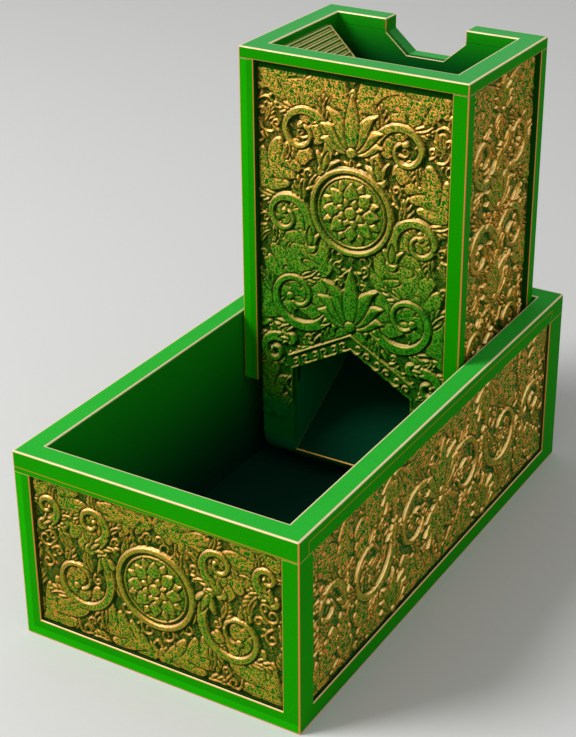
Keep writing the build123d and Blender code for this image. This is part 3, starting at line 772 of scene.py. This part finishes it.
def spiral(centre, radius, heading, turns, hand, entry, inner=0.22):
    # A line round a centre: radius times inner to the power of the share, from the heading and
    # round by its turns, with a straight entry before it, spaced evenly along its length
    share = np.linspace(0, 1, 400)
    turn = math.radians(heading) + hand * 2 * np.pi * turns * share
    out = radius * inner**share
    x, z = centre[0] + out * np.cos(turn), centre[1] + out * np.sin(turn)
    back = np.linspace(-entry, 0, 40, endpoint=False) / math.hypot(x[1] - x[0], z[1] - z[0])
    x = np.concatenate([x[0] + back * (x[1] - x[0]), x])
    z = np.concatenate([z[0] + back * (z[1] - z[0]), z])
    along = np.concatenate([[0], np.cumsum(np.hypot(np.diff(x), np.diff(z)))])
    even = np.linspace(0, along[-1], int(along[-1] / spacing))
    x, z = np.interp(even, along, x), np.interp(even, along, z)
    angle = np.unwrap(np.arctan2(np.gradient(z), np.gradient(x)))
    return {"x": x, "z": z, "angle": angle, "share": even / along[-1], "length": along[-1]}


def spot(line, share):
    # The point at a share of the line, and its heading there in degrees
    index = int(share * (len(line["x"]) - 1))
    return (line["x"][index], line["z"][index]), math.degrees(line["angle"][index])


def cut(canvas, left, right, low, high):
    # The rows and columns of a rectangle
    xs, zs = canvas["xs"], canvas["zs"]
    rows = slice(max(0, np.searchsorted(zs, low) - 1), np.searchsorted(zs, high) + 1)
    columns = slice(max(0, np.searchsorted(xs, left) - 1), np.searchsorted(xs, right) + 1)
    return rows, columns


def follow(canvas, line, reach):
    # The part of the canvas within reach of a line, and for each of its points the share of
    # the line beside it and its offset to the left, from the nearest sample of the line
    left, right, low, high = line["x"].min(), line["x"].max(), line["z"].min(), line["z"].max()
    part = cut(canvas, left - reach, right + reach, low - reach, high + reach)
    x, z = canvas["x"][part], canvas["z"][part]
    near = ((x[..., None] - line["x"]) ** 2 + (z[..., None] - line["z"]) ** 2).argmin(axis=-1)
    dx, dz = x - line["x"][near], z - line["z"][near]
    cos, sin = np.cos(line["angle"][near]), np.sin(line["angle"][near])
    share = line["share"][near] + (dx * cos + dz * sin) / line["length"]
    offset = dz * cos - dx * sin
    past = np.maximum(0, np.maximum(-share, share - 1)) * line["length"]
    return part, np.clip(share, 0, 1), np.sign(offset + 1e-9) * np.hypot(offset, past)


def around(canvas, centre, reach):
    # The part of the canvas round a centre, with each point's radius
    part = cut(canvas, centre[0] - reach, centre[0] + reach, centre[1] - reach, centre[1] + reach)
    return part, np.hypot(canvas["x"][part] - centre[0], canvas["z"][part] - centre[1])


def lay(canvas, part, inside, height, gap=0.7, sink=0.85):
    # Where inside, in millimetres within the form's edge, is above 0 the form covers what was
    # there, with a smooth step over the edge, and what was there sinks within a gap of the edge;
    # the brush is the form's tone
    under = canvas["height"][part] * (1 - sink * smooth(-gap, 0, inside))
    body = smooth(-0.12, 0.22, inside)
    canvas["height"][part] = under * (1 - body) + height * body
    canvas["tone"][part] = canvas["tone"][part] * (1 - body) + canvas["brush"] * body


def stem(canvas, line, widths, level, crown):
    # A rounded bar: the root of 1 less 0.92 times the cube of the share across, with a raised
    # rim, and tapered along as the share to the power 0.8
    part, share, offset = follow(canvas, line, max(widths) + 1.2)
    half = (widths[0] + (widths[1] - widths[0]) * share**0.8) / 2
    inside = half - np.abs(offset)
    rim = 0.2 * hump(inside - 0.35, 0.3) * smooth(0.8, 1.6, half)
    lay(canvas, part, inside, level + crown * (0.35 + 0.65 * dome(np.abs(offset) / half, 0.92, 3) + rim))


def leaflet(canvas, line, width, level, crown):
    # Half its width is the sine of the share, with a ridge along the middle
    part, share, offset = follow(canvas, line, width + 1.0)
    half = width / 2 * np.sin(np.pi * share**0.75) ** 0.8 + 0.05
    across = np.clip(np.abs(offset) / half, 0, 1)
    top = level + crown * (0.65 * dome(across, 0.9) + 0.35 * hump(across, 0.28))
    lay(canvas, part, half - np.abs(offset), top, gap=0.5, sink=0.8)


def acanthus(canvas, line, width, level, crown):
    # A broad leaf: its margin swells and narrows four times, as a sine of the share less a
    # slant for the offset, with a midrib, a vein into each lobe and a raised rim
    part, share, offset = follow(canvas, line, width * 1.05 + 1.2)
    phase = (share * 4 - np.abs(offset) / width * 1.1 + 0.3 * (offset > 0)) % 1.0
    swell = np.sin(np.pi * phase) ** 0.5
    envelope = np.sin(np.pi * (share * 0.92 + 0.08) ** 0.85) ** 0.6
    half = width * envelope * (0.45 + 0.55 * swell) + 0.05
    across = np.clip(np.abs(offset) / half, 0, 1)
    vein = hump(phase - 0.5, 0.13) * smooth(1.0, 0.6, across)
    rim = hump((1 - across) * half, 0.45)
    valley = hump(np.minimum(phase, 1 - phase), 0.10) * smooth(0.1, 0.4, across)
    midrib = hump(offset, 0.06 * width + 0.3) * (1 - 0.5 * share)
    raised = 0.55 + 0.22 * vein + 0.25 * rim - 0.6 * valley + 0.35 * midrib + 0.15 * smooth(0.75, 1.0, share)
    lay(canvas, part, half - np.abs(offset), level + crown * raised)


def bead(canvas, centre, radius, level, crown):
    # A ball's cap: the root of 1 less the square of the share outwards
    part, out = around(canvas, centre, radius + 1)
    top = level + crown * np.sqrt(np.clip(1 - (out / radius) ** 2, 0.05, 1))
    lay(canvas, part, radius - out, top, gap=0.5, sink=0.7)


def ring(canvas, centre, radius, width, level, crown):
    # A round moulding: the root of 1 less 0.92 times the square of the share across its width
    part, out = around(canvas, centre, radius + width + 1)
    half, across = width / 2, np.abs(out - radius)
    lay(canvas, part, half - across, level + crown * dome(across / half, 0.92), gap=0.5, sink=0.8)


def fan(canvas, start, heading, side, size, level, crown):
    # Two slender leaves from one point, the first the longer, the second curling further
    for k in (1, 0):
        bends = (side * 0.3 / size, side * (1.4 + 0.5 * k) / size)
        leaf = tendril(start, heading + side * (12 + 26 * k), size * (1 - 0.13 * k), bends, 1.5)
        leaflet(canvas, leaf, size * 0.16, level, crown)


def frond(canvas, start, heading, side, size, level, crown):
    # A curved stem with slender leaves in pairs, longer towards its foot
    line = tendril(start, heading, size, (side * 0.3 / size, side * 1.5 / size), 1.2)
    for k in range(4):
        point, angle = spot(line, 0.82 - 0.25 * k)
        long = size * (0.34 + 0.10 * k)
        for turn in (-1, 1):
            leaf = tendril(point, angle + turn * 30, long, (turn * 0.3 / long, -turn * 1.4 / long), 1.2)
            leaflet(canvas, leaf, 1.35, level, crown)
    stem(canvas, line, (1.1, 0.8), level, crown)


def palmette(canvas, start, heading, size, level, crown):
    # Seven curved leaves, the middle one the longest; on the middle line half of them is drawn
    canvas["brush"] = tones["palmettes"]
    ways = (1, -1) if start[0] > 1 else (1 if heading > 0 else -1,)
    for k, turn in enumerate((96, 66, 36, 0)):
        for way in ways:
            bend = way / size if turn else 0.0
            leaf = tendril(start, heading - way * turn * 0.7, size * (0.6 + 0.13 * k), (bend * 0.3, -bend * 2.2), 1.3)
            leaflet(canvas, leaf, size * 0.26, level, crown)
    bead(canvas, start, size * 0.1, level + 0.1, crown)


def scroll(canvas, line, hand, values, leaf, flower):
    # A broad stem wound into a volute, with fronds outside it, slender leaves inside it and a
    # flower at its end
    level, crown = values["level"], values["crown"]
    canvas["brush"] = tones["fronds"]
    for k in range(4):
        share = 0.08 + 0.62 * k / 3
        point, angle = spot(line, share)
        frond(canvas, point, angle - hand * 16, -hand, leaf * (1.1 - 0.5 * share), level - 0.25 * crown, crown)
    canvas["brush"] = tones["fans"]
    for k in range(4):
        point, angle = spot(line, 0.3 + 0.14 * k)
        fan(canvas, point, angle + hand * 6, hand, leaf * (0.55 - 0.08 * k), level - 0.3 * crown, crown * 0.8)
    canvas["brush"] = tones["stems"]
    stem(canvas, line, (values["stem"], values["stem"] * 0.28), level, crown)
    bead(canvas, spot(line, 1.0)[0], flower * 0.42, level + 0.2 * crown, crown)
    point, angle = spot(line, 0.0)
    for turn in (-30, 30, 0):
        husk = tendril(point, angle + turn, leaf * 0.7, (0.0, math.copysign(1.6, turn) * (turn != 0) / leaf), 1.5)
        leaflet(canvas, husk, leaf * 0.24, level + 0.15, crown)


def curl(canvas, centre, radius, heading, hand, width, level, crown):
    # A small volute with three slender leaves along its back
    line = spiral(centre, radius, heading, 1.15, hand, radius * 0.8, inner=0.25)
    for k in range(3):
        point, angle = spot(line, 0.1 + 0.2 * k)
        size = radius * (1.15 - 0.2 * k)
        leaf = tendril(point, angle - hand * 18, size, (-hand * 0.2 / size, -hand * 2.2 / size), 1.5)
        leaflet(canvas, leaf, size * 0.3, level, crown)
    stem(canvas, line, (width, width * 0.6), level, crown)


# The medallion's rings of eight petals: where a petal starts, its length and its width as
# shares of the radius, how far the ring rises, and its turn as a share of a petal
petalRings = ((0.16, 0.56, 0.30, 0.35, 0.5), (0.14, 0.52, 0.36, 0.6, 0.0), (0.08, 0.26, 0.2, 1.0, 0.5))


def medallion(canvas, centre, radius, values):
    # A raised disc inside a moulding, with eight broad petals over eight narrow ones
    level, crown = values["level"], values["crown"]
    canvas["brush"] = tones["disc"]
    part, out = around(canvas, centre, radius + 2)
    lay(canvas, part, radius - out, level + crown * 0.35 * np.cos(np.clip(out / radius, 0, 1) * 1.4))
    ring(canvas, centre, radius - 0.9, 2.4, level + 0.35 * crown, crown * 0.9)
    ring(canvas, centre, radius - 3.4, 0.9, level + 0.3 * crown, crown * 0.5)
    canvas["brush"] = tones["petals"]
    for start, length, width, rise, offset in petalRings:
        for k in range(8):
            turn = 360 * (k + offset) / 8
            spoke = direction(turn) * radius
            petal = tendril((centre[0] + spoke.x * start, centre[1] + spoke.y * start), turn, radius * length)
            leaflet(canvas, petal, radius * width, level + rise * crown, crown)
    bead(canvas, centre, radius * 0.15, level + 1.2 * crown, crown * 0.7)


def fill(canvas, values):
    # Small volutes and fronds on a jittered grid, wherever at most 12 % of the ground round the
    # place is covered, and 5 % more in each round: large volutes, large fronds, small fronds,
    # small volutes
    random = canvas["random"]
    level, crown = values["level"] * 0.45, values["crown"] * 0.8
    canvas["brush"] = tones["ground"]
    for tries, share in enumerate((1.0, 1.05, 0.8, 0.62)):
        pitch, size, wound = values["pitch"] * share, values["spray"] * share, tries in (0, 3)
        columns, rows = np.arange(0, canvas["xs"][-1], pitch), np.arange(canvas["zs"][0], canvas["zs"][-1], pitch)
        gx, gz = np.meshgrid(columns, rows)
        seeds = np.stack([gx.ravel(), gz.ravel()], 1) + random.uniform(-0.5, 0.5, (gx.size, 2)) * pitch
        random.shuffle(seeds)
        for x, z in seeds:
            heading = random.uniform(0, 360)
            reach = size * random.uniform(0.85, 1.15)
            side = 1 if random.random() < 0.5 else -1
            ahead = 0.0 if wound else 0.5 * reach
            middle = (x + ahead * math.cos(math.radians(heading)), z + ahead * math.sin(math.radians(heading)))
            part, out = around(canvas, middle, reach * 0.5)
            near = out < reach * 0.5
            if not near.any() or (canvas["height"][part][near] > 0.3 * level).mean() > 0.12 + 0.05 * tries:
                continue
            if random.random() > values["dense"]:
                continue
            if wound:
                curl(canvas, (x, z), reach * 0.36, heading, side, 1.05, level, crown)
            else:
                frond(canvas, (x, z), heading - side * 24, side, reach, level, crown)


def edging(canvas, start, end, radius, level, crown):
    # A strip cleared along a straight edge, a fillet beyond it, and a row of small volutes on
    # it, their hands alternating
    across, up = end[0] - start[0], end[1] - start[1]
    length = math.hypot(across, up)
    heading = math.degrees(math.atan2(up, across))
    canvas["brush"] = tones["edging"]
    stem(canvas, tendril(start, heading, length * 1.15), (2.9 * radius, 2.9 * radius), 0.0, 0.1)
    aside = direction(heading - 90) * 1.45 * radius
    fillet = tendril((start[0] + aside.x, start[1] + aside.y), heading, length * 1.15)
    stem(canvas, fillet, (0.9, 0.9), level * 0.6, crown)
    count = int(length / (2.0 * radius))
    for k in range(count):
        share = (k + 0.5) / count
        place = (start[0] + across * share, start[1] + up * share)
        curl(canvas, place, radius, heading + 90, 1 if k % 2 else -1, radius * 0.4, level * 0.7, crown)


def soften(field, radius):
    # The mean over a square, taken twice each way
    for axis in (0, 1, 0, 1):
        pad = [(0, 0), (0, 0)]
        pad[axis] = (radius + 1, radius)
        total = np.cumsum(np.pad(field, pad, mode="symmetric"), axis=axis)
        ahead, behind = [slice(None)] * 2, [slice(None)] * 2
        ahead[axis], behind[axis] = slice(2 * radius + 1, None), slice(None, -2 * radius - 1)
        field = (total[tuple(ahead)] - total[tuple(behind)]) / (2 * radius + 1)
    return field


def carve(values):
    # Broad leaves first, then scrolls, then small volutes and sprays on the bare ground, then what stands in front;
    # gilt marks the crests, and a field of painted shade the recesses, the bare ground and the places beside taller
    # forms
    canvas = newCanvas(values["half"], values["up"], values["step"], values["seed"])
    level, crown = values["level"], values["crown"]
    for start, heading, length, bends, width in values["leaves"]:
        acanthus(canvas, tendril(start, heading, length, bends, 1.2), width, level * 0.6, crown * 0.9)
    for centre, radius, heading, turns, hand, entry, leaf, flower in values["scrolls"]:
        scroll(canvas, spiral(centre, radius, heading, turns, hand, entry), hand, values, leaf, flower)
    fill(canvas, values)
    for start, heading, size in values.get("palmettes", ()):
        palmette(canvas, start, heading, size, level + 0.4 * crown, crown)
    for centre, radius in values.get("medallions", ()):
        medallion(canvas, centre, radius, values)
    for start, end, radius in values.get("edgings", ()):
        edging(canvas, start, end, radius, level, crown)
    height = canvas["height"]
    canvas["gilt"] = smooth(0.03, 0.16, height - soften(height, values["rub"]))
    # Painted shade on the low bare ground and beside taller forms
    ground = values["bare"] * smooth(level * 0.5, level * 0.1, height)
    hollow = smooth(-0.1 * level, -0.42 * level, height - soften(height, values["hollow"]))
    canvas["depth"] = np.maximum(ground, hollow)
    return canvas


# What the carvings share. Each leaf is its start, heading, length, bends and width; each scroll
# its centre, radius, heading, turns, hand, entry, leaf and flower; each palmette its start,
# heading and size; each medallion its centre and radius; each edging its ends and radius
towerValues = {
    "step": 0.33, "level": 0.75, "crown": 0.8, "rub": 2, "hollow": 3,
    # bare is the share of painted shade on the low bare ground
    "pitch": 5.5, "spray": 9.5, "dense": 1.0, "bare": 0.7,
}
trayValues = towerValues | {"level": 0.5, "crown": 0.55}
towerFrontCarving = towerValues | {
    "half": 40.0, "up": (20, 174.4), "seed": 7, "stem": 5.2,
    "leaves": (
        ((2, 160), 40, 46, (0.0, -0.10), 11.0), ((39, 171), 195, 40, (0.0, 0.10), 9.0),
        ((40, 72), 125, 42, (0.0, -0.06), 11.0), ((3, 74), 30, 44, (0.02, 0.05), 10.0),
        ((39, 124), 120, 30, (0.0, 0.10), 9.0), ((12, 98), 60, 30, (0.0, -0.08), 9.0),
        ((32, 26), 84, 34, (-0.02, 0.05), 7.0),
    ),
    "scrolls": (
        ((23, 84), 14.5, 215, 1.35, 1, 8, 13, 4.0), ((28, 115), 11.0, 190, 1.3, -1, 8, 11, 3.2),
        ((21, 149), 12.5, 205, 1.35, -1, 8, 11, 3.6), ((33, 58), 6.5, 100, 1.2, -1, 6, 7, 2.2),
    ),
    "palmettes": (((0, 76), 90, 24), ((0, 145), 90, 22)),
    "medallions": (((0, 122), 17.0),),
    "edgings": (((26.0, 54.3), (1.0, 68.2), 2.1),),
}
towerSideCarving = towerValues | {
    "half": 28.4, "up": (50, 174.4), "seed": 11, "stem": 4.6, "pitch": 6.0, "spray": 10.0, "dense": 0.6, "bare": 0.5,
    "leaves": (
        ((3, 166), -10, 34, (0.0, -0.10), 9.0), ((28, 52), 130, 34, (0.0, -0.10), 9.0),
        ((28, 90), 120, 30, (0.0, -0.10), 8.0), ((28, 126), 120, 30, (0.0, -0.10), 8.0),
        ((28, 160), 130, 24, (0.0, -0.10), 7.0),
    ),
    "scrolls": (
        ((14.2, 71), 12.4, 200, 1.35, 1, 6, 11, 3.4), ((14.2, 108), 12.4, 160, 1.35, -1, 6, 11, 3.4),
        ((14.2, 145), 12.4, 200, 1.35, 1, 6, 11, 3.4),
    ),
    "palmettes": (((0, 53), 90, 16), ((0, 86), 90, 20), ((0, 123), 90, 20), ((0, 160), 90, 13)),
}
trayEndCarving = trayValues | {
    "half": 48.7, "up": (6.6, 64.8), "seed": 5, "stem": 4.4, "spray": 9.0, "dense": 0.9,
    "leaves": (
        ((48, 62), 200, 34, (0.0, 0.10), 9.0), ((48, 8), 140, 32, (0.0, -0.08), 9.0),
        ((3, 61), -10, 30, (0.0, -0.11), 7.0), ((3, 10), 15, 30, (0.0, 0.11), 7.0),
    ),
    "scrolls": (
        ((31, 29), 14.0, 150, 1.4, 1, 6, 11, 3.6), ((25, 53), 7.5, 240, 1.25, -1, 6, 8, 2.4),
        ((43, 54), 5.5, 250, 1.2, -1, 5, 7, 2.0),
    ),
    "medallions": (((0, 35.7), 15.4),),
}
traySideCarving = trayValues | {
    "half": 92.6, "up": (6.6, 64.8), "step": 0.36, "seed": 9, "stem": 4.2,
    "pitch": 6.0, "spray": 10.0, "dense": 0.65, "bare": 0.5,
    "leaves": (
        ((4, 63), -12, 32, (0.0, -0.09), 9.0), ((4, 8), 12, 32, (0.0, 0.09), 9.0),
        ((38, 63), -20, 32, (0.0, -0.09), 9.0), ((38, 8), 20, 32, (0.0, 0.09), 9.0),
        ((69, 64), -84, 22, (0.0, 0.02), 5.0), ((69, 7), 84, 22, (0.0, -0.02), 5.0),
        ((92, 63), 215, 24, (0.0, 0.09), 7.0), ((92, 8), 145, 24, (0.0, -0.09), 7.0),
    ),
    "scrolls": (
        ((20, 35), 16.0, 180, 1.4, -1, 8, 12, 4.0), ((53, 36), 16.0, 180, 1.4, 1, 8, 12, 4.0),
        ((81, 36), 9.8, 180, 1.25, -1, 5, 9, 2.6),
    ),
    "palmettes": (((0, 37), 90, 22), ((0, 33), -90, 22), ((36.5, 62.5), -90, 17), ((36.5, 8.5), 90, 17)),
}

# Panels: closed plates whose faces are the carvings

panelFinish = {
    "edge": (0.1, 0.6),  # millimetres inside the window where the carving sets in
    "border": (0.6, 0.35, 0.8),  # the moulding round the exit: how far in, half its width, and its height
    "light": (0.9, -0.45),  # the shine, painted as highlights and shade, is how far a face looks up and to the light, along the panel
}


def sample(canvas, field, across, up):
    # The canvas's value between its four nearest points
    x = np.clip(np.abs(across) / canvas["step"], 0, len(canvas["xs"]) - 1.001)
    z = np.clip((up - canvas["zs"][0]) / canvas["step"], 0, len(canvas["zs"]) - 1.001)
    column, row = x.astype(int), z.astype(int)
    x, z = x - column, z - row
    field = canvas[field]
    low = field[row, column] * (1 - x) + field[row, column + 1] * x
    high = field[row + 1, column] * (1 - x) + field[row + 1, column + 1] * x
    return low * (1 - z) + high * z


def closedMesh(name, points, quads, loop):
    # The face's points and quads, and behind them the border again, joined by a skirt and closed
    behind = np.arange(len(loop)) + len(points) - len(loop)
    skirt = np.stack([loop, behind, np.roll(behind, -1), np.roll(loop, -1)], 1)
    corners = np.concatenate([quads.ravel(), skirt.ravel(), behind[::-1]])
    starts = np.arange(len(quads) + len(skirt) + 1) * 4
    mesh = bpy.data.meshes.new(name)
    mesh.vertices.add(len(points))
    mesh.vertices.foreach_set("co", points.ravel())
    mesh.loops.add(len(corners))
    mesh.loops.foreach_set("vertex_index", corners)
    mesh.polygons.add(len(starts))
    mesh.polygons.foreach_set("loop_start", starts)
    mesh.update(calc_edges=True)
    mesh.polygons.foreach_set("use_smooth", np.arange(len(starts)) < len(quads))
    return mesh


def newPlate(name, values, across, up, quads, loop, canvas):
    # across and up are millimetres on the face; quads are the face's corners; loop is its
    # border. The height is the carving's times a smooth step inside the window's edge. The back
    # repeats the border one thickness behind, its sides drawn in for the mitre.
    left, right, low, high = values["window"]
    inside = np.minimum(np.minimum(across - left, right - across), np.minimum(up - low, high - up))
    if "exit" in values:
        inside = np.minimum(inside, exitDistance(values["exit"], across, up))
    start, end = panelFinish["edge"]
    edge = smooth(start, end, inside)
    centred = across - (left + right) / 2
    height, gilt, depth, tone = (sample(canvas, field, centred, up) for field in ("height", "gilt", "depth", "tone"))
    height = height * edge
    # Painted shadow of the frame: the carving darkens within a few millimetres of the window's edge
    depth = 1 - (1 - depth) * smooth(start, values["shaded"], inside)
    if "exit" in values:
        middle, width, raised = panelFinish["border"]
        lip = hump(inside - middle, width) * smooth(2 * middle, middle, exitDistance(values["exit"], across, up))
        height = np.maximum(height, raised * lip)
        depth = depth * (1 - lip)
    border = across[loop]
    reach, drawn = values["mitre"]
    past = np.clip(border + reach, None, 0) * drawn + np.clip(border - reach, 0, None) * drawn
    u = np.concatenate([across, np.clip(border, -reach, reach) + past])
    v = np.concatenate([up, up[loop]])
    h = np.concatenate([height, np.full(len(loop), -values["plate"])])
    out, along = Vector(values["out"]), Vector(values["along"])
    points = np.outer(h * mm, out) + np.outer(u * mm, along) + np.outer(v * mm, (0, 0, 1))
    points += np.array(out) * values["face"] + np.array(along) * values["centre"]
    mesh = closedMesh(name, points, quads, loop)
    # Painted light: the shine is how far each point's normal looks up and towards the light; the carved paint turns
    # it into painted highlights and painted shade
    tilt = np.empty(len(points) * 3, np.float32)
    mesh.vertex_normals.foreach_get("vector", tilt)
    above, aside = panelFinish["light"]
    shine = tilt.reshape(-1, 3) @ (above * np.array((0, 0, 1)) + aside * np.array(along))
    marks = {"gilt": gilt * edge, "depth": depth, "tone": tone, "shine": shine[: len(gilt)] * edge * values["gain"]}
    for label, field in marks.items():
        field = np.concatenate([field, np.zeros(len(loop))]).astype(np.float32)
        mesh.attributes.new(label, "FLOAT", "POINT").data.foreach_set("value", field)
    mesh.materials.append(values["material"])
    piece = addObject(name, mesh)
    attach(piece, values["body"])
    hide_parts(values["node"])
    print(name, "faces", len(quads), "height", round(float(height.max()), 2))


def quadsOf(grid):
    # Corners of the cells of a grid of point numbers, whose rows go up and columns across
    return np.stack([grid[:-1, :-1], grid[:-1, 1:], grid[1:, 1:], grid[1:, :-1]], -1).reshape(-1, 4)


def evenly(start, end, cell):
    # Even steps of a cell or a little more
    return np.linspace(start, end, int(abs(end - start) / cell) + 1)


def findFace(values):
    # Where the panel's face is along its outward direction, and the middle of its width
    low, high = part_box(values["node"])
    out, along = Vector(values["out"]), Vector(values["along"])
    back = min(low.dot(out), high.dot(out))
    values["face"] = back + values["plate"] * mm
    ends = sorted((low.dot(along), high.dot(along)))
    values["centre"] = (ends[0] + ends[1]) / 2
    return (ends[1] - ends[0]) / 2 / mm, low.z / mm, high.z / mm


def squarePanel(name, values, canvas):
    half, low, high = findFace(values)
    across, up = np.meshgrid(evenly(-half, half, values["cell"]), evenly(low, high, values["cell"]))
    grid = np.arange(across.size).reshape(across.shape)
    loop = np.concatenate([grid[0, :-1], grid[:-1, -1], grid[-1, :0:-1], grid[:0:-1, 0]])
    newPlate(name, values, across.ravel(), up.ravel(), quadsOf(grid), loop, canvas)


def gabledPanel(name, values, canvas):
    # The upper grid's lower edge follows the gable over the exit, and a leg hangs from it on
    # each side, its outer edge stepping in at the shoulder
    half, low, high = findFace(values)
    jamb, top, apex = values["exit"]
    outer = evenly(jamb, half, values["cell"])
    columns = np.concatenate([-outer[::-1], evenly(-jamb, jamb, values["cell"])[1:-1], outer])
    base = top + np.clip(1 - np.abs(columns) / jamb, 0, None) * (apex - top)
    share = np.linspace(0, 1, int((high - top) / values["cell"]) + 1)[:, None]
    across = np.repeat(columns[None, :], len(share), 0)
    up = base * (1 - share) + high * share
    grid = np.arange(across.size).reshape(across.shape)
    points, quads, count = [(across.ravel(), up.ravel())], [quadsOf(grid)], across.size
    legRows = evenly(top, low, values["cell"])[1:]
    reach = np.interp(legRows, *values["shoulder"])[:, None]
    x = jamb + (outer - jamb) / (half - jamb) * (reach - jamb)
    z = np.repeat(legRows[:, None], len(outer), 1)
    legs = []
    for x, hung in ((-x[:, ::-1], grid[0, : len(outer)]), (x, grid[0, -len(outer) :])):
        leg = np.concatenate([hung[None, :], np.arange(x.size).reshape(x.shape) + count])
        points.append((x.ravel(), z.ravel()))
        quads.append(quadsOf(leg[::-1]))
        count += x.size
        legs.append(leg)
    left, right = legs
    gable = grid[0, len(outer) - 1 : -len(outer) + 1]
    loop = np.concatenate([
        gable[:-1], right[:-1, 0], right[-1, :-1], right[:0:-1, -1], grid[:-1, -1], grid[-1, :0:-1],
        grid[:0:-1, 0], left[:-1, 0], left[-1, :-1], left[:0:-1, -1],
    ])
    across, up = (np.concatenate(part) for part in zip(*points))
    newPlate(name, values, across, up, np.concatenate(quads), loop, canvas)


def exitDistance(gable, across, up):
    # Millimetres outside the gabled exit
    jamb, top, apex = gable
    slope = (apex - top) / jamb
    roof = (up - (apex - np.abs(across) * slope)) / math.hypot(1, slope)
    return np.maximum(np.abs(across) - jamb, roof)


frontCanvas = carve(towerFrontCarving)
sideCanvas = carve(towerSideCarving)
endCanvas = carve(trayEndCarving)
longCanvas = carve(traySideCarving)
print("carvings worked out")

front, back, left, right = (0, -1, 0), (0, 1, 0), (-1, 0, 0), (1, 0, 0)
alongs = {"front": (front, right), "back": (back, left), "right": (right, back), "left": (left, front)}
# Each panel's window is the part that shows, and its shoulder the half widths of its legs at
# some heights, all in millimetres
# shaded is how far in from the window the frame's painted shadow reaches, in millimetres; gain scales the painted
# highlights and shade
towerPlate = {"plate": 2.9, "mitre": (37.0, 0.5), "shaded": 1.7, "gain": 1.0, "cell": 0.36, "material": towerCarving}
towerSide = towerPlate | {
    "cell": 0.33, "mitre": (27.0, 0.15), "window": (-28.3, 28.3, 50.1, 174.0), "material": sideCarving,
}
trayEnd = {
    "plate": 2.4, "mitre": (1000, 1.0), "shaded": 1.0, "gain": 1.0, "cell": 0.33, "window": (-48.6, 48.6, 6.9, 64.5),
    "material": trayCarving,
}
traySide = trayEnd | {"cell": 0.37, "gain": 1.35, "window": (-92.5, 92.5, 6.9, 64.5), "material": sideCarving}
panels = (
    ("tower", "front", frontCanvas, towerPlate | {
        "window": (-39.75, 39.75, 28.5, 174.0),
        "exit": (25.4, 51.5, 65.7),  # half its width, the top of its sides and of its gable
        "shoulder": ((19, 41.8, 44.2, 51.5), (39.4, 39.4, 41.8, 42.85)),
    }),
    ("tower", "back", frontCanvas, towerPlate | {"window": (-39.7, 39.7, 50.1, 159.8)}),
    ("tower", "right", sideCanvas, towerSide),
    ("tower", "left", sideCanvas, towerSide),
    ("tray", "front", endCanvas, trayEnd),
    ("tray", "back", endCanvas, trayEnd),
    ("tray", "right", longCanvas, traySide),
    ("tray", "left", longCanvas, traySide),
)
for body, side, canvas, values in panels:
    out, along = alongs[side]
    values = values | {"body": body, "node": body + "_" + side + "_panel", "out": out, "along": along}
    build = gabledPanel if "exit" in values else squarePanel
    build(body + "_" + side + "_carving", values, canvas)
print("panels carved")

# Stage

stage = {
    "floor": colour(0.80, 0.80, 0.79),
    "grain": 1.5,
    "amount": 0.03,
    "specular": 0.1,
    "rough": 0.9,
    "reach": 3.0,
    "drop": 0.2 * mm,  # of the floor under the object
    "world": 0.36,
    "aim": (0, 0, 0.08),
    "key": {"place": (-0.9, -0.85, 1.1), "size": 0.7, "power": 20.0},
    "fill": {"place": (0.5, -1.3, 0.7), "size": 1.2, "power": 1.5},
}


def addFloor(values):
    mesh = bpy.data.meshes.new("floor")
    reach = values["reach"]
    mesh.from_pydata([(x * reach, y * reach, 0) for x, y in ((-1, -1), (1, -1), (1, 1), (-1, 1))], [], [(0, 1, 2, 3)])
    floor = addObject("floor", mesh)
    floor.location.z = -values["drop"]
    made, tree, shader = newMaterial("floorPaint", values["specular"])
    grain = use(tree, grainGroup, Size=values["grain"], Amount=values["amount"])
    painted = use(tree, tintGroup, Side=values["floor"], Top=values["floor"], Shade=grain["Shade"])["Colour"]
    connect(painted, shader.inputs["Base Color"])
    shader.inputs["Roughness"].default_value = values["rough"]
    mesh.materials.append(made)


def addWorld(values):
    # Dim for the object's light, and plain white where the camera or a reflection sees it
    world = bpy.data.worlds.new("studio")
    world.use_nodes = True
    bpy.context.scene.world = world
    tree = world.node_tree
    plain = tree.nodes["Background"]
    plain.inputs["Color"].default_value = colour(1, 1, 1)
    plain.inputs["Strength"].default_value = values["world"]
    white = put(tree, "Background", {"Color": colour(1, 1, 1), "Strength": 1.0})
    path = put(tree, "LightPath").outputs
    seen = larger(path["Is Camera Ray"], larger(path["Is Glossy Ray"], path["Is Transmission Ray"]))
    both = put(tree, "MixShader", {0: seen, 1: plain.outputs[0], 2: white.outputs[0]})
    connect(both.outputs[0], tree.nodes["World Output"].inputs["Surface"])


def addLamp(name, values):
    light = bpy.data.lights.new(name, "AREA")
    light.shape = "DISK"
    light.size = values[name]["size"]
    light.energy = values[name]["power"]
    lamp = addObject(name, light)
    lamp.location = values[name]["place"]
    lamp.rotation_euler = (Vector(values[name]["place"]) - Vector(values["aim"])).to_track_quat("Z", "Y").to_euler()


addFloor(stage)
addWorld(stage)
addLamp("key", stage)
addLamp("fill", stage)
bpy.context.scene.view_settings.view_transform = "Standard"
print("stage lit")
